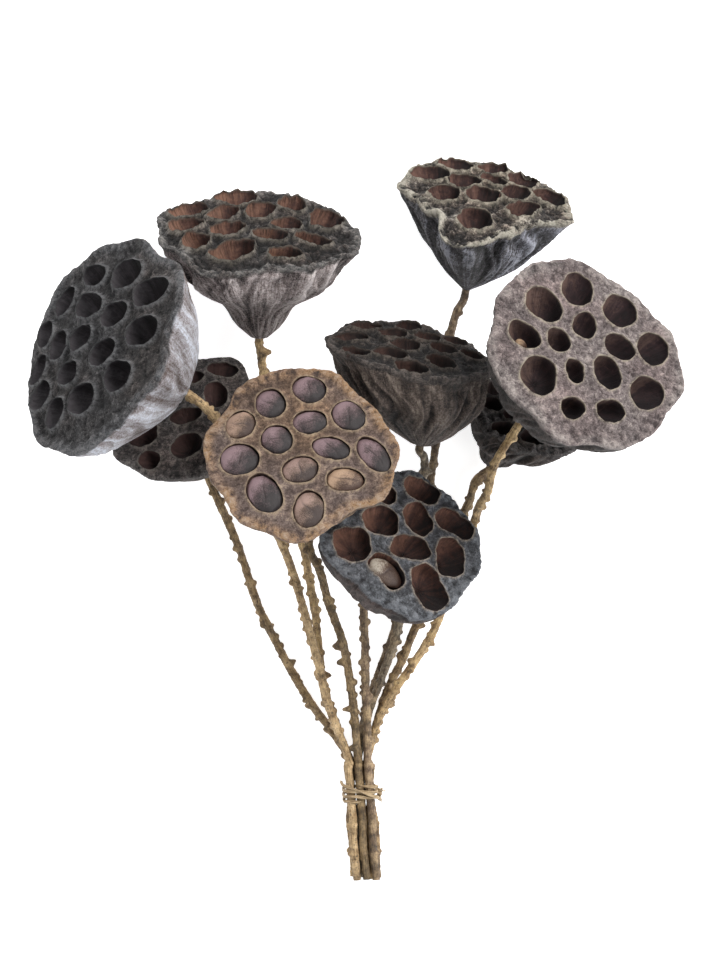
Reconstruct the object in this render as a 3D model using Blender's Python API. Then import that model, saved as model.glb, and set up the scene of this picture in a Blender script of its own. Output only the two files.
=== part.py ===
"""A bunch of nine dried lotus pods on knobbly stems, bound low with straw and laid down flat.

Sizes are in millimetres and turned into metres where meshes are made. The bunch lies in the XY plane:
the stems run down -Y to the binding, the heads fan out towards +Y and +Z points up off the surface.
"""
import itertools
import math
import random

import bmesh
import bpy
from mathutils import Matrix, Vector

MM = 0.001
GAP = 0.35

HEAD_SIDES = 28
# How far down from face to stem each ring of a head lies, and how wide it is there against the rim.
WALLS = {
    "flask": ((0.0, 1.0), (0.17, 0.93), (0.38, 0.76), (0.62, 0.4), (1.0, 0.06)),
    "cup": ((0.0, 1.0), (0.18, 0.95), (0.42, 0.77), (0.72, 0.47), (1.0, 0.04)),
    "bowl": ((0.0, 1.0), (0.26, 0.96), (0.54, 0.79), (0.8, 0.45), (1.0, 0.1)),
    "funnel": ((0.0, 1.0), (0.16, 0.91), (0.42, 0.71), (0.72, 0.41), (1.0, 0.0)),
}
HEAD_FACE_RINGS = (0.9,)
# Waves round a head, and how deep they are all together against its radius.
HEAD_WAVES = (4, 7, 11)
WAVE_DEPTH = 0.028
RIM_WAVE = 1.3
# How fast a head's own outline and the lift of its lip fade as the wall narrows.
OUTLINE_FADE = 1.5
LIFT_FADE = 3
FACE_DOME = 2.5
NECK_RADIUS = 2.7

PIT_SIDES = 8
PIT_LEVELS = 5
PIT_SHOULDER = 2.0
PIT_MARGIN = 3.2
PIT_WALL = 1.8
SETTLE_ROUNDS = 60
PIT_NARROWING = 0.55

SEED_HALF_HEIGHT = 3.6
SEED_GAP = 0.55

STEM_RADIUS = 2.15
STEM_STEP = 11.0
STEM_LEAD = 4.0
NUB_SPACING = 13.5
NUB_LENGTH = 1.8
NUB_RADIUS = 1.3
NUB_SIDES = 3

BUNDLE_X = 1.5
BUNDLE_PITCH = 4.75
BUNDLE_FLOOR = 4.0
BUNDLE_TOP_Y = -119.0
BUNDLE_END_Y = -179.0
BUNDLE_LEAN = 4.0

TIE_RADIUS = 0.85
TIE_TURNS = 3
TIE_STEPS = 16
TIE_Y = -133.0
TIE_PITCH = 2.6
TIE_SQUARENESS = 5
KNOT_TURNS = 1.25
TIE_CLEARANCE = 0.55
SLANT_STEPS = 6
SLANT_START = 0.8
SLANT_TURN = 0.42
SLANT_RISE = 3.4

FLOOR_BITE = 0.6


class Pod:
    """One head and its stem: face centre, face normal, rim radius, neck point, rim shape, pits, route and slot."""

    def __init__(self, name, centre, normal, radius, neck, rim, pit_size, pits, route, slot, wall="flask",
                 seeds=(), rests=False):
        self.name = name
        self.wall = WALLS[wall]
        self.centre = Vector(centre)
        self.normal = Vector(normal).normalized()
        self.radius = radius
        self.neck = Vector(neck)
        self.rim = rim
        self.pit_depth, growth = pit_size
        self.pits = [(way, reach, long * growth, wide * growth, turn) for way, reach, long, wide, turn in pits]
        self.route = route
        self.slot = slot
        self.seeds = seeds
        self.rests = rests

    def matrix(self):
        """Frame of the face: its own Z is the normal and its own Y points up the bunch."""
        across = Vector((0, 1, 0)).cross(self.normal).normalized()
        up = self.normal.cross(across)
        turn = Matrix((across, up, self.normal)).transposed().to_4x4()
        return Matrix.Translation(self.centre) @ turn


# Rims: radius against the mean every 30 degrees from the face's own X.
# Pit size: depth, and how much wider the pits open at the lip than the bare sizes in the list.
# Pits: direction in degrees, distance from the middle, length, width, turn of the length.
# Seeds: the pit that holds one, and its size against that pit.
PODS = (
    Pod("a", (-120, 84, 88), (-0.70, 0.34, 0.63), 54.5, (-84, 62, 52),
        (0.97, 1.07, 0.95, 0.94, 0.98, 1.06, 0.98, 0.96, 1.02, 1.05, 0.96, 1.03), (12, 1.0),
        ((116, 37, 19, 11, 170), (76, 34, 22, 15, 5), (37, 38, 24, 15, 5), (149, 41, 16, 14, 40),
         (127, 22, 21, 13, 175), (54, 15, 19, 13, 10), (5, 34, 22, 15, 0), (174, 44, 15, 12, 120),
         (184, 29, 15, 14, 95), (176, 13, 17, 13, 20), (320, 11, 19, 13, 10), (199, 45, 16, 12, 95),
         (230, 22, 15, 12, 15), (322, 31, 21, 15, 175), (221, 42, 16, 14, 55), (246, 40, 16, 13, 85),
         (273, 30, 20, 15, 0)),
        ((-68, 49, 56), (-58, 30, 63.5), (-51, 17, 59), (-43, 3, 49), (-35, -14, 40), (-29, -31, 34),
         (-21, -61, 26), (-17, -76, 22), (-13.5, -92, 18)), (-1, 2), wall="cup"),
    Pod("b", (-48, 138.5, 50), (0.05, 0.89, 0.46), 50.5, (-47, 90, 27),
        (1.03, 1.01, 0.97, 1.1, 0.97, 1.02, 0.98, 0.97, 1.07, 0.96, 0.98, 1.05), (12, 1.0),
        ((100, 42, 22, 19, 40), (143, 41, 23, 16, 45), (130, 23, 20, 14, 55), (80, 22, 22, 15, 80),
         (57, 37, 21, 13, 90), (21, 38, 25, 16, 85), (175, 34, 18, 14, 30), (190, 14, 18, 15, 65),
         (15, 16, 16, 14, 40), (208, 34, 17, 14, 80), (245, 29, 24, 17, 55), (303, 11, 18, 11, 175),
         (333, 30, 18, 13, 150), (291, 33, 17, 12, 5)),
        ((-46.5, 82, 21), (-45.5, 72, 15), (-42, 50, 12), (-38, 20, 12), (-26, -14, 12), (-23, -29, 13),
         (-20, -46, 13), (-18, -66, 12), (-15, -86, 11), (-9, -104, 9.8)), (-1, 1), rests=True),
    Pod("c", (-82.5, 49.5, 36), (-0.19, 0.61, 0.77), 38, (-75, 25, 8),
        (0.95, 1.01, 1.05, 0.97, 0.98, 1.03, 1.04, 1.06, 1.02, 1.0, 1.02, 0.97), (9.5, 1.0),
        ((65, 34, 17, 9, 170), (90, 24, 12, 8, 165), (41, 18, 17, 12, 105), (297, 2, 17, 10, 15),
         (215, 23, 16, 14, 20), (283, 20, 16, 14, 45), (154, 19, 14, 12, 75), (346, 25, 15, 13, 80),
         (174, 31, 12, 11, 65), (121, 31, 14, 10, 170), (315, 32, 12, 10, 40), (245, 32, 12, 10, 150),
         (18, 33, 12, 10, 110)),
        ((-68, 8, 4.6), (-58, -15, 4.6), (-49, -42, 4.6), (-39, -63, 4.6), (-28, -83, 4.6),
         (-21, -94, 4.6), (-12, -106, 4.6)), (-1, 0)),
    Pod("d", (-25.5, 31.5, 105), (-0.02, 0.42, 0.91), 44.5, (-22, 11, 57),
        (1.05, 0.97, 0.97, 1.0, 1.03, 0.98, 1.01, 1.0, 0.99, 1.02, 0.9, 1.02), (8.5, 1.04),
        ((83, 32, 16, 14, 160), (120, 28, 15, 14, 105), (39, 29, 17, 14, 135), (154, 31, 15, 13, 45),
         (72, 15, 16, 12, 5), (153, 12, 15, 14, 145), (4, 15, 18, 11, 165), (357, 34, 20, 12, 130),
         (190, 28, 18, 16, 170), (273, 10, 17, 13, 15), (325, 26, 17, 12, 175), (233, 27, 20, 15, 120),
         (279, 30, 18, 14, 85)),
        ((-22, 0, 48), (-22, -15, 43), (-17, -26, 38), (-13, -41, 33), (-6, -61, 28), (-3.5, -74, 24),
         (-1, -91, 19.5)), (0, 2), seeds=tuple((number, 0.73) for number in range(13))),
    Pod("e", (27, 81, 60), (0.16, 0.93, 0.34), 41.5, (32, 37, 44),
        (0.93, 0.98, 0.99, 0.98, 1.0, 0.99, 1.06, 0.99, 0.93, 1.02, 1.0, 0.94), (11, 1.18),
        ((105, 35, 15, 11, 15), (152, 29, 15, 12, 35), (85, 22, 14, 11, 45), (120, 8, 14, 12, 50),
         (45, 26, 14, 11, 60), (208, 17, 15, 11, 175), (285, 22, 14, 11, 95), (8, 21, 13, 11, 75),
         (68, 38, 13, 10, 30), (25, 37, 13, 10, 65), (340, 31, 13, 10, 75), (245, 33, 14, 10, 150),
         (195, 35, 12, 10, 100)),
        ((33.5, 30, 39), (34, 23, 35), (32, 17, 30), (29, -6, 23), (25, -30, 17), (22, -52, 13.5),
         (17, -69, 11.8), (12, -83, 10.5), (7, -96, 9.6)), (0, 1), wall="bowl"),
    Pod("f", (64, 154.5, 38), (0.13, 0.85, 0.51), 42, (55, 113.5, 17),
        (1.02, 1.06, 1.06, 1.1, 1.12, 1.11, 0.86, 0.86, 1.3, 0.86, 0.72, 1.04), (11, 1.2),
        ((127, 38, 15, 12, 150), (97, 37, 15, 12, 0), (70, 39, 13, 11, 5), (112, 21, 14, 12, 20),
         (70, 25, 11, 9, 140), (43, 38, 15, 13, 50), (35, 21, 14, 12, 60), (165, 20, 15, 12, 85),
         (30, 4, 15, 13, 40), (243, 27, 17, 13, 60), (5, 35, 15, 12, 100), (330, 17, 15, 11, 30)),
        ((53.5, 107, 13), (50.5, 102, 12), (48.5, 95, 11), (47, 88, 10), (42, 50, 9), (37, 15, 8.5),
         (31, -15, 7), (21, -52, 5.4), (11, -80, 4.8), (5.5, -97, 4.6)), (0, 0), wall="funnel", rests=True),
    Pod("g", (107, 77, 108), (0.38, 0.45, 0.81), 50.5, (82, 49.5, 60),
        (1.01, 0.98, 1.0, 1.02, 1.01, 0.96, 0.97, 1.01, 1.02, 0.97, 0.98, 1.0), (12, 1.0),
        ((124, 30, 20, 17, 130), (84, 34, 20, 16, 50), (44, 33, 20, 17, 45), (164, 32, 17, 13, 140),
         (157, 15, 13, 12, 80), (82, 14, 16, 12, 50), (6, 17, 16, 14, 135), (4, 36, 19, 16, 45),
         (204, 31, 21, 18, 65), (228, 14, 13, 10, 80), (310, 13, 18, 14, 100), (322, 34, 20, 16, 40),
         (243, 33, 13, 11, 35), (279, 31, 15, 12, 10)),
        ((75, 39.5, 61), (69, 30, 62), (66, 23, 58), (64, 13, 51), (60.5, 6, 43), (58, -2, 36),
         (50, -25, 27), (40, -53, 21), (36, -61, 19), (29, -72, 16.5), (22, -82, 14.5), (16, -92, 12.5),
         (11, -102, 11)), (1, 1), seeds=((3, 0.36),)),
    Pod("h", (84, 51, 30), (0.22, 0.74, 0.64), 34, (68, 27.5, 8),
        (1.08, 1.08, 1.0, 0.9, 0.84, 0.78, 0.78, 0.86, 0.9, 0.9, 0.93, 1.02), (9, 1.15),
        ((268, 19, 15, 10, 5), (185, 15, 14, 9, 25), (345, 22, 13, 9, 15), (35, 8, 13, 9, 20),
         (78, 20, 13, 9, 15), (35, 28, 12, 9, 15), (130, 23, 12, 9, 30), (215, 28, 11, 9, 150),
         (168, 29, 10, 9, 80), (310, 27, 10, 9, 50), (5, 33, 9, 9, 80)),
        ((60, 18, 6.5), (57, 8, 6), (54, 2, 6), (42, -27, 6), (31, -53, 6), (27, -62, 5.8), (24, -70, 5.4),
         (19, -80, 5), (14, -92, 4.6)), (1, 0)),
    Pod("i", (24.5, -12, 68), (0.29, 0.42, 0.86), 38.5, (6, -37, 34),
        (1.0, 0.99, 1.03, 1.02, 0.95, 0.95, 1.11, 0.97, 0.92, 1.03, 1.01, 0.98), (10, 1.0),
        ((66, 31, 18, 13, 155), (130, 18, 18, 15, 175), (62, 17, 17, 14, 120), (21, 28, 20, 13, 140),
         (180, 27, 19, 17, 0), (324, 2, 19, 13, 175), (339, 22, 20, 15, 85), (229, 19, 20, 13, 130),
         (288, 25, 23, 16, 110), (111, 32, 14, 12, 155)),
        ((4.3, -51, 28), (5, -61, 26), (5, -71, 24), (5.3, -88, 19.7), (6, -100, 17)), (1, 2), seeds=((7, 0.55),)),
)

# Colour and roughness of each kind of surface, and which of the head colours each pod has.
COLOURS = {
    "dark_head": ((0.062, 0.053, 0.05), 0.85),
    "brown_head": ((0.11, 0.075, 0.055), 0.85),
    "tan_head": ((0.26, 0.19, 0.14), 0.85),
    "grey_head": ((0.17, 0.14, 0.13), 0.85),
    "slate_head": ((0.085, 0.085, 0.09), 0.85),
    "stem": ((0.33, 0.22, 0.1), 0.7),
    "seed": ((0.09, 0.055, 0.06), 0.5),
    "straw": ((0.72, 0.58, 0.36), 0.6),
}
HEAD_COLOURS = {"a": "dark", "b": "brown", "c": "dark", "d": "tan", "e": "dark", "f": "grey", "g": "grey",
                "h": "dark", "i": "slate"}


def clear_scene():
    for obj in list(bpy.data.objects):
        bpy.data.objects.remove(obj, do_unlink=True)


def make_collection(name):
    collection = bpy.data.collections.new(name)
    bpy.context.scene.collection.children.link(collection)
    return collection


def make_material(name, colour, roughness):
    material = bpy.data.materials.new(name)
    material.use_nodes = True
    shader = material.node_tree.nodes["Principled BSDF"]
    shader.inputs["Base Color"].default_value = (*colour, 1.0)
    shader.inputs["Roughness"].default_value = roughness
    shader.inputs["Metallic"].default_value = 0.0
    return material


def add_object(name, mesh, collection, material=None):
    obj = bpy.data.objects.new(name, mesh)
    collection.objects.link(obj)
    if material:
        mesh.materials.append(material)
        mesh.shade_smooth()
        mesh.set_sharp_from_angle(angle=math.radians(35))
    return obj


def hide_cutter(obj):
    obj.hide_render = True
    obj.display_type = "WIRE"


def cut(obj, cutter):
    modifier = obj.modifiers.new(cutter.name, "BOOLEAN")
    modifier.operation = "DIFFERENCE"
    modifier.solver = "EXACT"
    modifier.object = cutter


def smooth_route(points, step):
    """Points of a Catmull-Rom curve through a route, about one each step."""
    ends = [points[0] * 2 - points[1], *points, points[-1] * 2 - points[-2]]
    route = []
    for i in range(1, len(ends) - 2):
        before, start, end, after = ends[i - 1:i + 3]
        pieces = max(1, round((end - start).length / step))
        for j in range(pieces):
            t = j / pieces
            route.append(0.5 * (2 * start + (end - before) * t
                                + (2 * before - 5 * start + 4 * end - after) * t ** 2
                                + (3 * start - before - 3 * end + after) * t ** 3))
    route.append(points[-1].copy())
    return route


def tube_mesh(name, route, radii, resolution=1):
    """Closed mesh of a tube along a route, made from a curve with a bevel."""
    curve = bpy.data.curves.new(name, "CURVE")
    curve.dimensions = "3D"
    curve.bevel_depth = MM
    curve.bevel_resolution = resolution
    curve.use_fill_caps = True
    spline = curve.splines.new("POLY")
    spline.points.add(len(route) - 1)
    for point, place, radius in zip(spline.points, route, radii):
        point.co = (*(place * MM), 1.0)
        point.radius = radius
    holder = bpy.data.objects.new(name, curve)
    bpy.context.scene.collection.objects.link(holder)
    bpy.context.view_layer.update()
    depsgraph = bpy.context.evaluated_depsgraph_get()
    mesh = bpy.data.meshes.new_from_object(holder.evaluated_get(depsgraph))
    bpy.data.objects.remove(holder)
    bpy.data.curves.remove(curve)
    shell = bmesh.new()
    shell.from_mesh(mesh)
    bmesh.ops.remove_doubles(shell, verts=shell.verts, dist=0.00001)
    bmesh.ops.recalc_face_normals(shell, faces=shell.faces)
    shell.to_mesh(mesh)
    shell.free()
    return mesh


def unite(obj, extras):
    """Fuse a collection of small pieces into an object and drop them."""
    modifier = obj.modifiers.new("fused", "BOOLEAN")
    modifier.operation = "UNION"
    modifier.operand_type = "COLLECTION"
    modifier.collection = extras
    modifier.solver = "EXACT"
    bpy.context.view_layer.update()
    depsgraph = bpy.context.evaluated_depsgraph_get()
    fused = bpy.data.meshes.new_from_object(obj.evaluated_get(depsgraph))
    obj.modifiers.remove(modifier)
    obj.data = fused
    for piece in list(extras.objects):
        bpy.data.objects.remove(piece, do_unlink=True)
    bpy.data.collections.remove(extras)


def rim_factor(pod, angle):
    """Rim radius against the mean, eased between the values given every 30 degrees."""
    place = math.degrees(angle) % 360 / 30
    i = int(place) % 12
    ease = 0.5 - 0.5 * math.cos(math.pi * (place - int(place)))
    return pod.rim[i] * (1 - ease) + pod.rim[(i + 1) % 12] * ease


def wave_factor(angle, shift):
    """Radius against the mean where the rim and wall wander in and out round the head."""
    waves = sum(math.sin(count * angle + shift * place) for place, count in enumerate(HEAD_WAVES, 1))
    return 1 + WAVE_DEPTH * waves / math.sqrt(len(HEAD_WAVES))


def head_mesh(pod):
    """Funnel-shaped head with an uneven wall, a wavy rim and a slightly domed face."""
    shift = random.Random(pod.name).uniform(0, math.tau)
    neck = pod.matrix().inverted() @ pod.neck
    shell = bmesh.new()

    def ring(centre, radius, spread, height):
        points = []
        for k in range(HEAD_SIDES):
            angle = math.tau * k / HEAD_SIDES
            shape = 1 + (rim_factor(pod, angle) * wave_factor(angle, shift) - 1) * spread
            reach = radius * shape
            lift = height * math.sin(3 * angle + shift) + 0.6 * height * math.sin(7 * angle)
            points.append(shell.verts.new((centre + Vector((reach * math.cos(angle), reach * math.sin(angle),
                                                            lift))) * MM))
        return points

    def bridge(outer, inner):
        for k in range(HEAD_SIDES):
            m = (k + 1) % HEAD_SIDES
            shell.faces.new((outer[k], outer[m], inner[m], inner[k]))

    rings = []
    for fraction in reversed(HEAD_FACE_RINGS):
        dome = Vector((0, 0, FACE_DOME * (1 - fraction ** 2)))
        rings.append(ring(dome, pod.radius * fraction, fraction, RIM_WAVE * fraction * 0.5))
    for depth, width in pod.wall:
        radius = NECK_RADIUS + (pod.radius - NECK_RADIUS) * width
        rings.append(ring(neck * depth, radius, width ** OUTLINE_FADE, RIM_WAVE * width ** LIFT_FADE))
    middle = shell.verts.new(Vector((0, 0, FACE_DOME)) * MM)
    for k in range(HEAD_SIDES):
        shell.faces.new((middle, rings[0][k], rings[0][(k + 1) % HEAD_SIDES]))
    for inner, outer in zip(rings, rings[1:]):
        bridge(inner, outer)
    shell.faces.new(list(reversed(rings[-1])))
    bmesh.ops.recalc_face_normals(shell, faces=shell.faces)
    mesh = bpy.data.meshes.new("head")
    shell.to_mesh(mesh)
    shell.free()
    return mesh


def pit_reach(pit, way):
    """How far a pit's edge is from its middle, measured along a way on the face."""
    turn = math.radians(pit[4])
    along = way.x * math.cos(turn) + way.y * math.sin(turn)
    across = way.y * math.cos(turn) - way.x * math.sin(turn)
    return math.hypot(along * pit[2] / 2, across * pit[3] / 2)


def settle_pits(pod):
    """Middles of the pits on the face, nudged until walls stand between them and inside the rim."""
    places = [Matrix.Rotation(math.radians(pit[0]), 3, "Z") @ Vector((pit[1], 0, 0)) for pit in pod.pits]
    for _ in range(SETTLE_ROUNDS):
        for i, j in itertools.combinations(range(len(places)), 2):
            apart = places[j] - places[i]
            way = apart.normalized()
            short = pit_reach(pod.pits[i], way) + pit_reach(pod.pits[j], way) + PIT_WALL - apart.length
            if short > 0:
                places[i] -= way * short / 2
                places[j] += way * short / 2
        for i, place in enumerate(places):
            way = place.normalized()
            rim = pod.radius * rim_factor(pod, math.atan2(way.y, way.x))
            room = rim - pit_reach(pod.pits[i], way) - PIT_MARGIN
            if place.length > room:
                places[i] = way * room
    return places


def leaned(pod, place, drop):
    """Middle of a pit at some depth under its shoulder, where it leans in towards the neck."""
    neck = pod.matrix().inverted() @ pod.neck
    return place + (neck.xy.to_3d() - place) * max(0, drop) / neck.length * PIT_NARROWING


def face_height(pod, place):
    return FACE_DOME * (1 - (place.length / pod.radius) ** 2)


def pits_mesh(pod):
    """Rounded pits as one cutter, each leaning in towards the neck as it goes down."""
    shell = bmesh.new()
    for pit, place in zip(pod.pits, pod.places):
        level = face_height(pod, place) - PIT_SHOULDER
        turn = Matrix.Rotation(math.radians(pit[4]), 4, "Z")
        fresh = bmesh.ops.create_uvsphere(shell, u_segments=PIT_SIDES, v_segments=PIT_LEVELS, radius=1.0)["verts"]
        for vert in fresh:
            local = turn @ Vector((vert.co.x * pit[2] / 2, vert.co.y * pit[3] / 2, 0))
            drop = vert.co.z * (pod.pit_depth - PIT_SHOULDER) if vert.co.z < 0 else vert.co.z * 3 * PIT_SHOULDER
            spot = leaned(pod, place, -drop) + local
            vert.co = Vector((spot.x, spot.y, level + drop)) * MM
    mesh = bpy.data.meshes.new("pits")
    shell.to_mesh(mesh)
    shell.free()
    return mesh


def lower_to_floor(pod):
    """Set a head that rests on the surface so low that a small flat can be trimmed off its rim."""
    mesh = head_mesh(pod)
    lowest = min((pod.matrix() @ (vert.co / MM)).z for vert in mesh.vertices)
    bpy.data.meshes.remove(mesh)
    pod.centre.z -= lowest + FLOOR_BITE
    pod.neck.z -= lowest + FLOOR_BITE


def make_head(pod, parts, cutters, floor, material):
    obj = add_object(f"pod_{pod.name}_head", head_mesh(pod), parts, material)
    obj.matrix_world = placed(pod)
    pits = add_object(f"pod_{pod.name}_pits", pits_mesh(pod), cutters)
    pits.matrix_world = placed(pod)
    hide_cutter(pits)
    cut(obj, pits)
    if pod.rests:
        cut(obj, floor)
    return obj


def placed(pod):
    matrix = pod.matrix()
    matrix.translation *= MM
    return matrix


def make_seeds(pod, parts, material):
    """Smooth oval seeds lying loose on the floors of their pits, shaped by them."""
    for number, share in pod.seeds:
        pit, place = pod.pits[number], pod.places[number]
        half_height = min(SEED_HALF_HEIGHT, share * pit[3] / 2)
        shoulder = face_height(pod, place) - PIT_SHOULDER
        middle = face_height(pod, place) - pod.pit_depth + half_height + SEED_GAP
        turn = Matrix.Rotation(math.radians(pit[4]), 4, "Z")
        shell = bmesh.new()
        bmesh.ops.create_uvsphere(shell, u_segments=7, v_segments=5, radius=1.0)
        for vert in shell.verts:
            local = turn @ Vector((vert.co.x * share * pit[2] / 2, vert.co.y * share * pit[3] / 2, 0))
            height = middle + vert.co.z * half_height
            spot = leaned(pod, place, shoulder - height) + local
            vert.co = Vector((spot.x, spot.y, height)) * MM
        mesh = bpy.data.meshes.new("seed")
        shell.to_mesh(mesh)
        shell.free()
        seed = add_object(f"pod_{pod.name}_seed_{number + 1:02d}", mesh, parts, material)
        seed.matrix_world = placed(pod)


def bundle_spot(slot, y):
    """Middle of a stem in the bundle, which leans a little towards +X below its top."""
    column, row = slot
    lean = BUNDLE_LEAN * min(0, y - BUNDLE_TOP_Y) / (BUNDLE_END_Y - BUNDLE_TOP_Y)
    return Vector((BUNDLE_X + lean + column * BUNDLE_PITCH, y, BUNDLE_FLOOR + row * BUNDLE_PITCH))


def stem_route(pod):
    start = pod.neck - pod.normal * GAP
    lead = start - pod.normal * STEM_LEAD
    rng = random.Random(pod.name)
    end_y = BUNDLE_END_Y + rng.uniform(-1.5, 1.5)
    points = [start, lead] + [Vector(point) for point in pod.route]
    points += [bundle_spot(pod.slot, y) for y in (BUNDLE_TOP_Y, BUNDLE_TOP_Y - 4, BUNDLE_TOP_Y - 12, end_y)]
    return smooth_route(points, STEM_STEP)


def outward(pod):
    """Direction in which a stem's nubs point where the stems lie side by side, if any is free."""
    column, row = pod.slot
    if column:
        return Vector((column, 0, 0))
    return Vector((0, 0, 1)) if row == 2 else None


def make_stem(pod, parts, material):
    """Knobbly stem with small thorny nubs on alternate sides, fused to it."""
    rng = random.Random(f"stem {pod.name}")
    route = stem_route(pod)
    radii = [STEM_RADIUS * (1 + 0.05 * math.sin(1.9 * i + rng.uniform(-0.4, 0.4))) for i in range(len(route))]
    radii = [min(radius, STEM_RADIUS) if place.y < BUNDLE_TOP_Y else radius for radius, place in zip(radii, route)]
    stem = add_object(f"pod_{pod.name}_stem", tube_mesh("stem", route, radii), parts, material)
    extras = make_collection(f"pod_{pod.name}_nubs")
    travelled = 0.0
    side = 1
    for before, here, after in zip(route, route[1:], route[2:]):
        travelled += (here - before).length
        if travelled < NUB_SPACING:
            continue
        travelled = rng.uniform(-1.5, 1.5)
        side = -side
        along = (after - before).normalized()
        across = along.cross(Vector((0, 0, 1))).normalized()
        away = across * side + Vector((0, 0, rng.uniform(0.1, 0.8)))
        if here.y < BUNDLE_TOP_Y + 32:
            away = outward(pod)
        if away is None or TIE_Y + 3 > here.y > TIE_Y - TIE_TURNS * TIE_PITCH - 3:
            continue
        away.normalize()
        nub = bmesh.new()
        bmesh.ops.create_cone(nub, cap_ends=True, segments=NUB_SIDES, radius1=NUB_RADIUS * MM,
                              radius2=0.25 * NUB_RADIUS * MM, depth=2 * NUB_LENGTH * MM)
        mesh = bpy.data.meshes.new("nub")
        nub.to_mesh(mesh)
        nub.free()
        piece = add_object("nub", mesh, extras)
        piece.matrix_world = Matrix.Translation((here + away * (STEM_RADIUS - 0.3 * NUB_LENGTH)) * MM) @ \
            away.to_track_quat("Z", "Y").to_matrix().to_4x4()
    unite(stem, extras)
    stem.data.materials.clear()
    stem.data.materials.append(material)
    stem.data.shade_smooth()
    stem.data.set_sharp_from_angle(angle=math.radians(35))
    return stem


def tie_point(turns):
    """Place on the binding after so many turns: a rounded square round the bundle, stepping down it."""
    angle = math.tau * turns
    half = BUNDLE_PITCH + STEM_RADIUS + TIE_CLEARANCE + TIE_RADIUS
    x = math.sin(angle)
    z = math.cos(angle)
    reach = half / (abs(x) ** TIE_SQUARENESS + abs(z) ** TIE_SQUARENESS) ** (1 / TIE_SQUARENESS)
    y = TIE_Y - TIE_PITCH * turns
    return bundle_spot((0, 1), y) + Vector((x * reach, 0, z * reach))


def make_tie(parts, floor, material):
    """Straw wound round the stems, with a small knot and two loose ends at the right."""
    count = TIE_TURNS * TIE_STEPS
    route = [tie_point(i / TIE_STEPS) for i in range(count + 1)]
    tie = add_object("straw_tie", tube_mesh("straw_tie", route, [TIE_RADIUS] * len(route), 0), parts, material)
    extras = make_collection("knot")
    knot_place = tie_point(KNOT_TURNS) + Vector((TIE_RADIUS * 1.2, 0, 1.0))
    knot = bmesh.new()
    bmesh.ops.create_uvsphere(knot, u_segments=7, v_segments=5, radius=1.0)
    bmesh.ops.scale(knot, verts=knot.verts, vec=Vector((2.0, 2.6, 2.2)) * MM)
    knot_mesh = bpy.data.meshes.new("knot")
    knot.to_mesh(knot_mesh)
    knot.free()
    ball = add_object("knot_ball", knot_mesh, extras)
    ball.matrix_world = Matrix.Translation(knot_place * MM)
    for number, reach in enumerate((Vector((5.5, 1.0, 1.0)), Vector((3.0, -7.5, 0.5)))):
        points = [knot_place, knot_place + reach * 0.5 + Vector((0, 0, 0.8)), knot_place + reach]
        loose = smooth_route(points, 2.5)
        add_object(f"end_{number}", tube_mesh("end", loose, [TIE_RADIUS * 0.8] * len(loose), 0), extras)
    slanting = []
    for i in range(SLANT_STEPS + 1):
        share = i / SLANT_STEPS
        spot = tie_point(SLANT_START + SLANT_TURN * share)
        out = (spot - bundle_spot((0, 1), spot.y)).normalized()
        slanting.append(spot + out * 1.4 * TIE_RADIUS + Vector((0, SLANT_RISE * (1 - 2 * share), 0)))
    add_object("slanting_strand", tube_mesh("strand", slanting, [TIE_RADIUS * 0.9] * len(slanting), 0), extras)
    unite(tie, extras)
    tie.data.materials.clear()
    tie.data.materials.append(material)
    tie.data.shade_smooth()
    tie.data.set_sharp_from_angle(angle=math.radians(35))
    cut(tie, floor)
    return tie


def make_floor(cutters):
    """The space under the surface, used to trim small flats where the bunch rests."""
    mesh = bpy.data.meshes.new("floor")
    shell = bmesh.new()
    bmesh.ops.create_cube(shell, size=1.0)
    bmesh.ops.scale(shell, verts=shell.verts, vec=(0.6, 0.6, 0.04))
    bmesh.ops.translate(shell, verts=shell.verts, vec=(0, 0, -0.02))
    shell.to_mesh(mesh)
    shell.free()
    floor = add_object("floor_trim", mesh, cutters)
    hide_cutter(floor)
    return floor


def centre_on_origin(parts, cutters):
    """Put the middle of the bunch's box over the origin, through one parent."""
    bpy.context.view_layer.update()
    depsgraph = bpy.context.evaluated_depsgraph_get()
    corners = []
    for obj in parts.objects:
        solid = obj.evaluated_get(depsgraph)
        corners += [obj.matrix_world @ vert.co for vert in solid.data.vertices]
    middle = [(min(c[i] for c in corners) + max(c[i] for c in corners)) / 2 for i in range(2)]
    bunch = bpy.data.objects.new("bunch", None)
    parts.objects.link(bunch)
    for obj in list(parts.objects) + list(cutters.objects):
        if obj is not bunch:
            obj.parent = bunch
    bunch.location = (-middle[0], -middle[1], 0)


def main():
    clear_scene()
    parts = make_collection("lotus_pod_bunch")
    cutters = make_collection("cutters")
    cutters.hide_render = True
    materials = {name: make_material(name, *look) for name, look in COLOURS.items()}
    floor = make_floor(cutters)
    for pod in PODS:
        pod.places = settle_pits(pod)
        if pod.rests:
            lower_to_floor(pod)
        make_head(pod, parts, cutters, floor, materials[f"{HEAD_COLOURS[pod.name]}_head"])
        make_seeds(pod, parts, materials["seed"])
        make_stem(pod, parts, materials["stem"])
    make_tie(parts, floor, materials["straw"])
    centre_on_origin(parts, cutters)


main()
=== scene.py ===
"""Fine heads, seeds, stems and straw of a tied bunch of dried lotus pods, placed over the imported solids.

Shapes are worked out in millimetres in the bunch's own frame and turned into metres where meshes are made.
The stems run down -Y to the binding, the heads fan out towards +Y and +Z points up off the surface.
"""
import itertools
import math
import random
from dataclasses import dataclass

import bpy
import numpy as np
from mathutils import Matrix, Vector, noise
from mathutils.geometry import delaunay_2d_cdt

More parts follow.
